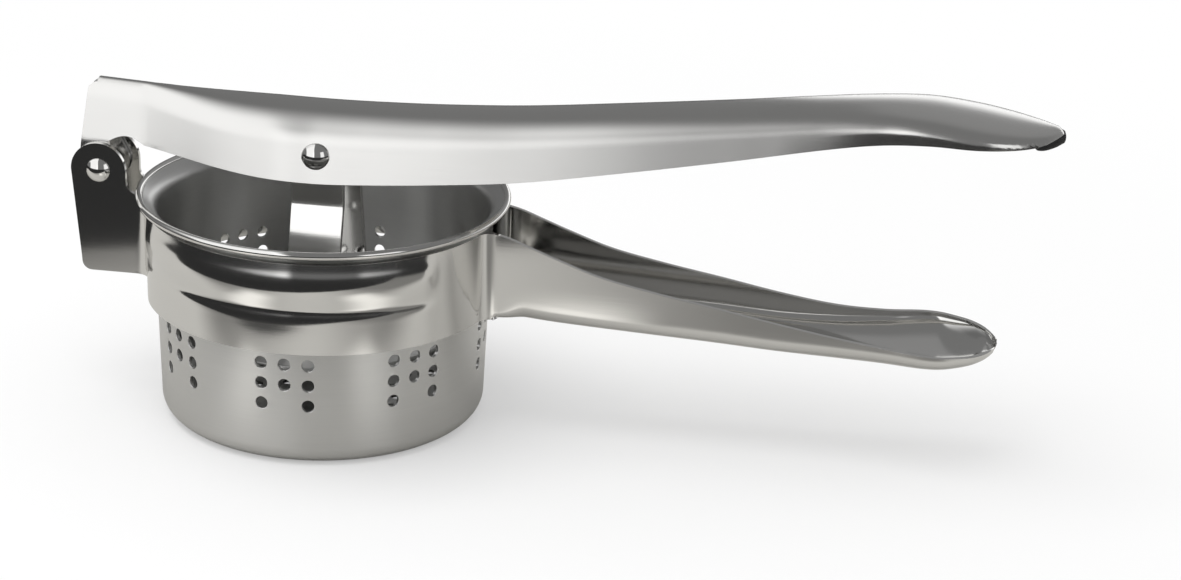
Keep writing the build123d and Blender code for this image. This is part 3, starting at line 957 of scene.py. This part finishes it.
def handle_section(x):
    reach = (x - ROOT_END) / HANDLE_REACH
    first = HANDLE_STATIONS[0]
    if reach <= 0:
        share = eased((x - HANDLE_BEND) / (ROOT_END - HANDLE_BEND))
        crown = mixed(CROWN_START, CROWN_START - first[3] * CROWN_DROP, share)
        edge = COLLAR_BOTTOM + first[2] * COLLAR_HEIGHT
        rise = mixed(-3.4, (crown - edge) * first[4], share)
        return Section(WALL_HALF, crown, rise, mixed(5.0, first[5], share))
    spread, edge, crown, dome, fullness = (
        follow(HANDLE_STATIONS, reach, column) for column in range(1, 6)
    )
    close = closing(x - ROOT_END - HANDLE_REACH, HANDLE_TIP_ROUND)
    half = (WALL_HALF + (HANDLE_GRIP_HALF - WALL_HALF) * spread) * close
    edge_z = COLLAR_BOTTOM + edge * COLLAR_HEIGHT
    crown_z = mixed(edge_z, CROWN_START - crown * CROWN_DROP, close)
    return Section(half, crown_z, (crown_z - edge_z) * dome, fullness)


def handle_edge(x):
    """Height of the handle's open edge."""
    if x <= ROOT_END:
        start = HANDLE_BEND - STRIP_BEND
        t = min(max((x - start) / (ROOT_END - start), 0), 1)
        end = COLLAR_BOTTOM + HANDLE_STATIONS[0][2] * COLLAR_HEIGHT
        slope = -0.42 * (ROOT_END - start)
        drop = end - COLLAR_TOP
        return COLLAR_TOP + (slope - 2 * drop) * t**3 + (3 * drop - slope) * t**2
    reach = (x - ROOT_END) / HANDLE_REACH
    return COLLAR_BOTTOM + follow(HANDLE_STATIONS, reach, 2) * COLLAR_HEIGHT


class StripPath:
    """Plan of the bent strip's outer skin on the near side, by length."""

    def __init__(self):
        reach = COLLAR_OUTER + STRIP_BEND
        self.left = (-sqrt(reach**2 - (CHEEK_HALF + STRIP_BEND) ** 2), -CHEEK_HALF - STRIP_BEND)
        self.right = (HANDLE_BEND, -WALL_HALF - STRIP_BEND)
        self.left_turn = atan2(-self.left[1], -self.left[0])
        self.right_turn = atan2(-self.right[1], -self.right[0])
        self.bend_start = self.left[0]
        self.collar_start = self.bend_start + (pi / 2 - self.left_turn) * STRIP_BEND
        self.start_angle = pi + self.left_turn
        self.end_angle = pi + self.right_turn
        arc = (self.end_angle - self.start_angle) * COLLAR_OUTER
        self.collar_end = self.collar_start + arc
        self.handle_start = self.collar_end + (self.right_turn - pi / 2) * STRIP_BEND

    def plan(self, s, out=0.0):
        """X and Y at a length along the strip, moved outward."""
        if s <= self.bend_start:
            return s, -CHEEK_HALF - out
        if s <= self.collar_start:
            turn = pi / 2 - (s - self.bend_start) / STRIP_BEND
            radius = STRIP_BEND - out
            return self.left[0] + radius * cos(turn), self.left[1] + radius * sin(turn)
        if s <= self.collar_end:
            turn = self.angle(s)
            radius = COLLAR_OUTER + out
            return radius * cos(turn), radius * sin(turn)
        turn = self.right_turn - (s - self.collar_end) / STRIP_BEND
        radius = STRIP_BEND - out
        return self.right[0] + radius * cos(turn), self.right[1] + radius * sin(turn)

    def angle(self, s):
        return self.start_angle + (s - self.collar_start) / COLLAR_OUTER

    def handle_x(self, s):
        return HANDLE_BEND + s - self.handle_start


def rib_bulge(angle, drop, depth):
    """How far the collar's rib stands out at an angle and a drop below the top."""
    turn = degrees(angle)
    fade = eased((turn - BEAD_START) / BEAD_START_FADE) * eased((BEAD_END - turn) / BEAD_END_FADE)
    return depth * fade * follow(BEAD_PROFILE, drop, 1)


def frame_skin(rib_depth):
    """Near half of the strip: cheek, bends, collar with its rib, handle channel."""
    path = StripPath()
    section = remembered(handle_section)

    def place(s, t):
        if s > path.handle_start:
            x = path.handle_x(s)
            shape = section(x)
            girth = shape.dome + (COLLAR_TOP - shape.spring) - t
            out, height = shape.at(max(girth, 0.0))
            return x, -out, height
        bulge = 0.0
        if path.collar_start < s < path.collar_end:
            bulge = rib_bulge(path.angle(s), t / COLLAR_HEIGHT, rib_depth)
        x, y = path.plan(s, bulge)
        return x, y, COLLAR_TOP - t

    def depth(x):
        shape = section(x)
        return COLLAR_TOP - shape.spring + shape.dome

    front = HINGE[0] - CHEEK_RADIUS
    back = HINGE[0] + CHEEK_RADIUS
    neck = mixed(COLLAR_TOP, HINGE[1], 0.55)
    foot = COLLAR_TOP - CHEEK_FOOT
    top = [(s, COLLAR_TOP - z) for s, z in arc_points(HINGE, CHEEK_RADIUS, 180, 0, 30)]
    top += [(back, COLLAR_TOP - z) for z in spaced(HINGE[1], neck, 1.0)[1:]]
    for i in range(1, 11):
        turn = pi / 2 * i / 10
        top.append((back + CHEEK_NECK * (1 - cos(turn)), -(neck - COLLAR_TOP) * (1 - sin(turn))))
    top += [(s, 0.0) for s in spaced(back + CHEEK_NECK, path.handle_start - STRIP_BEND, 1.0)[1:]]
    end = path.handle_start + ROOT_END - HANDLE_BEND + HANDLE_REACH + HANDLE_TIP_ROUND
    for s in spaced(path.handle_start - STRIP_BEND, end, 0.9)[1:]:
        top.append((s, COLLAR_TOP - handle_edge(path.handle_x(s))))
    fine = [end - HANDLE_TIP_ROUND * (1 - sin(pi / 2 * i / 8)) for i in range(8)]
    top = [corner for corner in top[:-1] if corner[0] < fine[0]]
    top += [(s, COLLAR_TOP - handle_edge(path.handle_x(s))) for s in fine + [end]]
    tip_low = depth(ROOT_END + HANDLE_REACH + HANDLE_TIP_ROUND)
    tip = [(end, tip_low)] + [(s, depth(path.handle_x(s))) for s in reversed(fine)]
    joint = path.handle_start + 1.0
    low = [(s, depth(path.handle_x(s))) for s in spaced(fine[0], joint, -0.9)[1:]]
    low += [(joint, t) for t in spaced(low[-1][1], COLLAR_HEIGHT, -0.8)[1:]]
    bottom = [(s, COLLAR_HEIGHT) for s in spaced(joint, path.collar_start + 0.8, -1.0)[1:]]
    heel = front + CHEEK_INSET
    bottom += [(s, foot) for s in spaced(path.collar_start - 0.8, heel + 2.5, -1.0)]
    corner = (heel + CHEEK_CORNER, foot - CHEEK_CORNER)
    bottom += arc_points(corner, CHEEK_CORNER, 90, 176, 6)[1:]
    for i in range(1, 16):
        bottom.append((mixed(heel, front, i / 16), mixed(foot - 2.6, top[0][1], i / 16)))
    outline = top + tip + low + bottom
    bore = arc_points((HINGE[0], COLLAR_TOP - HINGE[1]), CHEEK_BORE_RADIUS, 0, 345, 23)
    columns = spaced(front, path.bend_start, 1.1)
    columns += spaced(path.bend_start, path.collar_start, 0.55)[1:]
    columns += spaced(path.collar_start, path.collar_end, 0.95)[1:]
    columns += spaced(path.collar_end, path.handle_start, 0.55)[1:]
    columns += spaced(path.handle_start, end, 1.0)[1:]
    rows = spaced(COLLAR_TOP - HINGE[1] - CHEEK_RADIUS, 0, 0.9) + spaced(0, COLLAR_HEIGHT, 0.45)[1:]
    rows += spaced(COLLAR_HEIGHT, tip_low + 16, 0.7)[1:]
    blank = cut_blank(outline, [bore], columns, rows, 0.26)
    return bend_blank(blank, place)


def yoke_skin():
    """The yoke's blank, bent into a flared stirrup."""
    bend_z = PIVOT[1] - YOKE_BEND_DROP
    base_z = PLATE_TOP
    outer = YOKE_LEG + 0.75
    foot = outer + (bend_z - base_z) * tan(YOKE_FLARE)
    corner = YOKE_CORNER + 0.75
    flare = YOKE_FLARE
    turn_out = corner * tan((pi / 2 + flare) / 2)
    soft = YOKE_SOFT_BEND
    cut = soft * tan(flare / 2)
    path = [(0.0, base_z)]
    path += [(y, base_z) for y in spaced(0.0, foot - turn_out, 1.0)[1:]]
    centre = (foot - turn_out, base_z + corner)
    path += [(centre[0] + corner * sin(a), centre[1] - corner * cos(a))
             for a in spaced(0.0, pi / 2 + flare, 0.13)[1:]]
    turns = spaced(flare, 0.0, -0.04)
    bend = [(outer + soft * (1 - cos(a)), bend_z + cut - soft * sin(a)) for a in turns]
    path += even_line([path[-1], bend[0]], 1.2)[1:] + bend[1:]
    path += even_line([bend[-1], (outer, PIVOT[1] + YOKE_EAR)], 1.0)[1:]
    lengths = [0.0]
    for a, b in zip(path, path[1:]):
        lengths.append(lengths[-1] + hypot(b[0] - a[0], b[1] - a[1]))
    total = lengths[-1]
    pin = total - YOKE_EAR

    def place(x, s):
        side = 1 if s > 0 else -1
        s = min(abs(s), total)
        index = min(max(sum(g <= s for g in lengths) - 1, 0), len(lengths) - 2)
        t = (s - lengths[index]) / (lengths[index + 1] - lengths[index])
        a, b = path[index], path[index + 1]
        return PIVOT[0] + x, side * mixed(a[0], b[0], t), mixed(a[1], b[1], t)

    lean = atan2(YOKE_SHOULDER, YOKE_HALF_WIDTH)
    lean += asin(YOKE_EAR / hypot(YOKE_HALF_WIDTH, YOKE_SHOULDER))
    start = degrees(lean) - 90
    side = [(YOKE_HALF_WIDTH, s) for s in spaced(0, pin - YOKE_SHOULDER, 1.2)]
    crown = arc_points((0, pin), YOKE_EAR, start, 180 - start, 24)
    flank = even_line([side[-1], crown[0]], 1.2)[1:-1]
    far = side + flank + crown + [(-x, s) for x, s in reversed(flank)]
    far += [(-x, s) for x, s in reversed(side)]
    near = [(x, -s) for x, s in reversed(far)][1:-1]
    bores = [arc_points((0, sign * pin), BORE_RADIUS, 0, 345, 23) for sign in (-1, 1)]
    rows = [s * sign for s in lengths[1:] for sign in (-1, 1)] + [0.0]
    blank = cut_blank(far + near, bores, spaced(-6.0, 6.0, 1.0), rows, 0.35)
    return bend_blank(blank, place)


def lever_pivot_height():
    """Where the lever's leaning walls are as far apart as its solid's walls, at the rivet."""
    along = (PIVOT[0] - LEVER_START) / LEVER_LENGTH
    edge, crown = (follow(LEVER_STATIONS, along, column) for column in (2, 3))
    return HINGE[1] + mixed(edge, crown, DRAFT_PIVOT) * LEVER_LENGTH


def rivet_profile(span, shank, head, rise):
    """Half a rivet: shank, head seat, short rim and dome; radius and height."""
    ball = (head**2 + rise**2) / (2 * rise)
    limit = asin(head / ball)
    profile = [(shank, 0.0), (shank, span - 0.02), (head - 0.12, span), (head, span + 0.1)]
    for i in range(1, 17):
        turn = limit * (1 - i / 16) * 0.985
        profile.append((ball * sin(turn), span + rise - ball * (1 - cos(turn))))
    return profile


def rivet_mesh(name, at, span, shank, head, rise):
    half = lathe(rivet_profile(span, shank, head, rise), 64)
    skins = []
    for side in (-1, 1):
        points = [(at[0] + x, side * z, at[1] + side * y) for x, y, z in half[0]]
        skins.append((points, half[1]))
    return mesh_of(name, skins)


def plate_profile():
    """The pressing plate: rounded edge and a shallow stiffening ring."""
    edge = 0.6
    profile = [(0.0, PLATE_BOTTOM)]
    profile += [(r, PLATE_BOTTOM) for r in spaced(0, PLATE_RADIUS - edge, 4.0)[1:]]
    profile += arc_points((PLATE_RADIUS - edge, PLATE_BOTTOM + edge), edge, -90, 0, 5)[1:]
    profile += arc_points((PLATE_RADIUS - edge, PLATE_TOP - edge), edge, 0, 90, 5)
    for radius in spaced(PLATE_RADIUS - edge, 26.0, -0.5)[1:]:
        dip = 0.22 * eased((radius - 28.0) / 2.0) * eased((34.0 - radius) / 2.0)
        profile.append((radius, PLATE_TOP - dip))
    profile += [(r, PLATE_TOP) for r in spaced(26.0, 0.0, -4.0)[1:]]
    return profile


def weld_marks():
    """Small spot weld dimples on the yoke's foot, as thin raised rings."""
    skins = []
    for x in (-2.6, 2.6):
        for y in (-7.0, 7.0):
            profile = [(0.0, 0.05), (0.7, 0.04), (1.1, 0.12), (1.35, 0.14), (1.6, 0.0)]
            points, faces = lathe(profile, 32)
            skins.append((
                [(PIVOT[0] + x + px, y + py, PLATE_TOP + 1.5 + pz) for px, py, pz in points], faces,
            ))
    return skins


class RICER_OT_basket(bpy.types.Operator):
    """Make the perforated basket with its rolled lip"""

    bl_idname = "ricer.basket"
    bl_label = "Basket"

    def execute(self, context):
        sizes = context.scene.ricer_sizes
        skins = basket_skins(sizes.hole_radius / MM)
        piece = sheet_piece("basket_cup", skins, sizes.basket_wall, "cup", ["basket"], (0, -90, 25))
        dress(piece, finishes()["basket"])
        bead = mesh_of("basket_lip", [lip_bead()])
        lip = add_piece("basket_lip", bead, "cup")
        dress(lip, finishes()["polish"])
        return {"FINISHED"}


class RICER_OT_frame(bpy.types.Operator):
    """Make the strip with its cheeks, collar and handle"""

    bl_idname = "ricer.frame"
    bl_label = "Lower frame"

    def execute(self, context):
        sizes = context.scene.ricer_sizes
        near = frame_skin(sizes.rib_depth / MM)
        skins = [near, mirrored(near)]
        piece = sheet_piece(
            "frame_strip", skins, sizes.frame_sheet, "frame", ["lower_frame"], (0, -90, 45),
            ROOT_END + HANDLE_REACH + HANDLE_TIP_ROUND - TIP_TAPER,
        )
        dress(piece, finishes()["polish"])
        return {"FINISHED"}


class RICER_OT_lever(bpy.types.Operator):
    """Make the upper lever's pressed channel"""

    bl_idname = "ricer.lever"
    bl_label = "Upper lever"

    def execute(self, context):
        sizes = context.scene.ricer_sizes
        piece = sheet_piece(
            "lever_channel", [lever_skin()], sizes.lever_sheet, "lever", ["upper_lever"],
            (60, 0, 200), LEVER_START + LEVER_LENGTH + LEVER_TIP_ROUND - TIP_TAPER,
        )
        dress(piece, finishes()["lever"])
        crescent = mesh_of("tip_crescent", [tip_crescent(sizes.crescent_height / MM)])
        guard = add_piece("tip_crescent", crescent, "lever", ["tip_guard"])
        dress(guard, finishes()["guard"])
        return {"FINISHED"}


class RICER_OT_rivets(bpy.types.Operator):
    """Make the hinge rivet and the plunger rivet"""

    bl_idname = "ricer.rivets"
    bl_label = "Rivets"

    def execute(self, context):
        polish = finishes()["rivet"]
        hinge = rivet_mesh("hinge_rivet", HINGE, CHEEK_HALF, *HINGE_RIVET)
        hinge_rivet = add_piece("hinge_rivet", hinge, "frame", ["hinge_pin"])
        dress(hinge_rivet, polish)
        seat = LEVER_WALL_AT_PIN + (lever_pivot_height() - PIVOT[1]) * tan(LEVER_DRAFT)
        pivot = rivet_mesh("plunger_rivet", PIVOT, seat, *PLUNGER_RIVET)
        plunger_rivet = add_piece("plunger_rivet", pivot, "lever", ["plunger_pin"])
        dress(plunger_rivet, polish)
        return {"FINISHED"}


class RICER_OT_plunger(bpy.types.Operator):
    """Make the yoke and the pressing plate"""

    bl_idname = "ricer.plunger"
    bl_label = "Plunger"

    def execute(self, context):
        sizes = context.scene.ricer_sizes
        yoke = sheet_piece(
            "yoke_strip", [yoke_skin()], sizes.yoke_sheet, "plunger", ["plunger_yoke"],
            (0.6, -60, 40),
        )
        dress(yoke, finishes()["polish"])
        points, faces = lathe(plate_profile())
        disc = mesh_of("plate_disc", [([(x + PIVOT[0], y, z) for x, y, z in points], faces)])
        disc.set_sharp_from_angle(angle=radians(50))
        plate = add_piece("plate_disc", disc, "plunger", ["press_plate"])
        dress(plate, finishes()["basket"])
        marks = add_piece("weld_marks", mesh_of("weld_marks", weld_marks()), "plunger")
        dress(marks, finishes()["polish"])
        return {"FINISHED"}


class RICER_OT_stage(bpy.types.Operator):
    """Make the floor, the light, the reflected room and the camera"""

    bl_idname = "ricer.stage"
    bl_label = "Stage"

    def execute(self, context):
        make_floor()
        make_room()
        make_world()
        make_lamps()
        make_camera()
        context.scene.view_settings.view_transform = "Standard"
        return {"FINISHED"}


def make_floor():
    """A pale board. Its slanted front edge is what the polished steel mirrors as a dark line."""
    mesh = bpy.data.meshes.new("Floor")
    front = [(x, FLOOR_FRONT - FLOOR_SLANT * x, 0.0) for x in FLOOR_SIDES]
    back = [(x, FLOOR_BACK, 0.0) for x in reversed(FLOOR_SIDES)]
    mesh.from_pydata(front + back, [], [(0, 1, 2, 3)])
    floor = bpy.data.objects.new("Floor", mesh)
    bpy.context.scene.collection.objects.link(floor)
    floor.location.z = -0.00002
    material = bpy.data.materials.new("Pale_floor")
    tree = Tree(material)
    place = tree.add("ShaderNodeTexCoord", output="Object")
    distance = tree.add("ShaderNodeVectorMath", {"operation": "LENGTH"}, {0: place}, output="Value")
    across = tree.add("ShaderNodeSeparateXYZ", None, {0: place}, output="X")
    deep = tree.add("ShaderNodeSeparateXYZ", None, {0: place}, output="Y")
    from_edge = deep + across * FLOOR_SLANT - FLOOR_FRONT
    colour = bpy.context.scene.ricer_finishes.floor_colour
    warm = bpy.context.scene.ricer_finishes.painted_reflection_colour
    lit = tree.add("ShaderNodeBsdfDiffuse", None, {"Color": (*colour, 1.0)})
    # Painted reflection: the floor the steel sees is darker and tinted, with a painted shade copy
    # (far) and a painted highlight copy
    near, far, bright = (
        tree.add("ShaderNodeBsdfDiffuse", None, {"Color": (*(share * part for part in warm), 1.0)})
        for share in (1.0, PAINTED_SHADE_SHARE, PAINTED_HIGHLIGHT_SHARE)
    )
    sideways = tree.add("ShaderNodeMath", {"operation": "ABSOLUTE"}, {0: across - FLOOR_MIDDLE})
    # Painted shade: the reflected floor darkens away from the middle and towards the front
    painted_shade_mask = tree.risen(sideways, *PAINTED_SHADE_SIDES) * tree.risen(deep * -1, *PAINTED_SHADE_FRONT)
    # Painted highlights: two over-bright spots on the reflected floor, which the basket shows as
    # light streaks
    painted_highlight_mask = tree.band(sideways, *PAINTED_HIGHLIGHT_SIDES, PAINTED_HIGHLIGHT_SOFT)
    painted_highlight_mask = painted_highlight_mask * tree.band(deep, *PAINTED_HIGHLIGHT_DEPTH, PAINTED_HIGHLIGHT_SOFT)
    even = tree.add("ShaderNodeMixShader", None, {0: painted_shade_mask, 1: near, 2: far})
    painted_reflection_floor = tree.add("ShaderNodeMixShader", None, {0: painted_highlight_mask, 1: even, 2: bright})
    white = tree.add("ShaderNodeEmission", None, {"Color": (1.0, 1.0, 1.0, 1.0), "Strength": 1.0})
    fade = tree.risen(distance, *FLOOR_FADE) * 0.65 + 0.35
    edge = 1 - tree.risen(from_edge, 0.0, FLOOR_EDGE_FADE)
    clear = tree.add("ShaderNodeMath", {"operation": "MAXIMUM"}, {0: fade, 1: edge})
    # Camera rays see the pale lit floor fading to white; other rays, those of the steel among them,
    # see the painted reflection floor
    seen = tree.add("ShaderNodeLightPath", output="Is Camera Ray")
    shown = tree.add("ShaderNodeMixShader", None, {0: clear, 1: lit, 2: white})
    tree.finish(tree.add("ShaderNodeMixShader", None, {0: seen, 1: painted_reflection_floor, 2: shown}))
    mesh.materials.append(material)


def make_room():
    """The dark studio that the steel mirrors.

    A large softbox rises at the front left and fades past the zenith. A weak fill
    stands at the front right, a narrow strip light further right, and a pale wall
    low down behind.
    """
    mesh = bpy.data.meshes.new("Reflected_room")
    net = bmesh.new()
    bmesh.ops.create_uvsphere(net, u_segments=48, v_segments=32, radius=STUDIO_RADIUS)
    net.to_mesh(mesh)
    net.free()
    room = bpy.data.objects.new("Reflected_room", mesh)
    bpy.context.scene.collection.objects.link(room)
    material = bpy.data.materials.new("Room_light")
    tree = Tree(material)
    place = tree.add("ShaderNodeTexCoord", output="Object")
    unit = tree.add("ShaderNodeVectorMath", {"operation": "NORMALIZE"}, {0: place})
    x, y, z = (tree.add("ShaderNodeSeparateXYZ", None, {0: unit}, output=axis) for axis in "XYZ")
    to_degrees = 180 / pi
    height = tree.add("ShaderNodeMath", {"operation": "ARCSINE"}, {0: z}) * to_degrees
    left = tree.add("ShaderNodeMath", {"operation": "ARCTAN2"}, {0: x * -1, 1: y * -1}) * to_degrees
    over = tree.add("ShaderNodeMath", {"operation": "ARCTAN2"}, {0: z, 1: y * -1}) * to_degrees
    raised = tree.risen(over, *SOFTBOX_FOOT)
    softbox = raised * SOFTBOX_LIGHT - tree.risen(over, *SOFTBOX_FADE) * SOFTBOX_FADE_LIGHT
    softbox = softbox * (1 - tree.risen(x * -1, *SOFTBOX_DIM) * SOFTBOX_DIM_SHARE)
    slant = x + tree.risen(over, *SOFTBOX_LEAN) * SOFTBOX_LEAN_SHARE
    on_left = 1 - tree.risen(slant, *SOFTBOX_INNER)
    on_left = on_left * (1 - tree.risen(x * -1, *SOFTBOX_OUTER))
    wall = tree.risen(over, *WALL_TOP) * WALL_TOP_LIGHT
    wall = wall + tree.risen(over, *WALL_FOOT) * WALL_FOOT_LIGHT
    wall = wall * tree.risen(x, *WALL_SIDE)
    strip = tree.band(left, *STRIP_SIDES, 3) * tree.band(height, *STRIP_HEIGHTS, 2)
    light = softbox * on_left + (1 - on_left) * (raised * FILL_LIGHT + wall)
    light = STUDIO_DARK + light + strip * STRIP_LIGHT
    shade = tree.add("ShaderNodeCombineColor", None, {0: light, 1: light, 2: light})
    tree.finish(tree.add("ShaderNodeEmission", None, {"Color": shade, "Strength": 1.0}))
    mesh.materials.append(material)
    room.visible_camera = False
    room.visible_diffuse = False
    room.visible_shadow = False
    room.visible_transmission = False


def make_world():
    world = bpy.data.worlds.new("Studio")
    bpy.context.scene.world = world
    tree = Tree(world)
    seen = tree.add("ShaderNodeLightPath", output="Is Camera Ray")
    strength = 0.82 + seen * 0.18
    light = tree.add(
        "ShaderNodeBackground", None, {"Color": (1.0, 1.0, 1.0, 1.0), "Strength": strength},
    )
    tree.finish(light, "ShaderNodeOutputWorld")


def make_lamps():
    lamp = bpy.data.lights.new("Overhead_softbox", "AREA")
    lamp.shape = "RECTANGLE"
    lamp.size, lamp.size_y = 0.9, 0.7
    lamp.energy = 6.0
    softbox = bpy.data.objects.new("Overhead_softbox", lamp)
    softbox.location = (-0.25, -0.15, 1.1)
    aim = Vector((0.05, 0.0, 0.04)) - softbox.location
    softbox.rotation_euler = aim.to_track_quat("-Z", "Y").to_euler()
    softbox.visible_glossy = False
    bpy.context.scene.collection.objects.link(softbox)


def make_camera():
    lens = bpy.data.cameras.new("Photograph_view")
    lens.lens = 73.16
    lens.sensor_width = 36.0
    lens.clip_start = 0.01
    camera = bpy.data.objects.new("Photograph_view", lens)
    bpy.context.scene.collection.objects.link(camera)
    forward = Vector((-0.1055, 0.9259, -0.3627)).normalized()
    level = forward.cross(Vector((0, 0, 1))).normalized()
    upright = level.cross(forward)
    roll = radians(2.599)
    right = level * cos(roll) + upright * sin(roll)
    up = upright * cos(roll) - level * sin(roll)
    turn = Matrix((right, up, -forward)).transposed().to_4x4()
    camera.matrix_world = Matrix.Translation((0.12942, -0.54784, 0.25041)) @ turn
    bpy.context.scene.camera = camera


class RICER_PT_panel(bpy.types.Panel):
    """Lists the ricer's pieces and its stage"""

    bl_idname = "RICER_PT_panel"
    bl_label = "Ricer"
    bl_space_type = "VIEW_3D"
    bl_region_type = "UI"
    bl_category = "Ricer"

    def draw(self, context):
        for group in (context.scene.ricer_sizes, context.scene.ricer_finishes):
            for name in group.__annotations__:
                self.layout.prop(group, name)
        for step in STEPS:
            self.layout.operator(step.bl_idname)


STEPS = (
    RICER_OT_basket, RICER_OT_frame, RICER_OT_lever,
    RICER_OT_rivets, RICER_OT_plunger, RICER_OT_stage,
)
GROUPS = (RicerSizes, RicerFinishes)


def register():
    for kind in GROUPS + STEPS + (RICER_PT_panel,):
        bpy.utils.register_class(kind)
    bpy.types.Scene.ricer_sizes = bpy.props.PointerProperty(type=RicerSizes)
    bpy.types.Scene.ricer_finishes = bpy.props.PointerProperty(type=RicerFinishes)


def unregister():
    del bpy.types.Scene.ricer_finishes
    del bpy.types.Scene.ricer_sizes
    for kind in reversed(GROUPS + STEPS + (RICER_PT_panel,)):
        bpy.utils.unregister_class(kind)


def main():
    register()
    bpy.ops.ricer.basket()
    bpy.ops.ricer.frame()
    bpy.ops.ricer.lever()
    bpy.ops.ricer.rivets()
    bpy.ops.ricer.plunger()
    bpy.ops.ricer.stage()


if __name__ == "__main__":
    main()
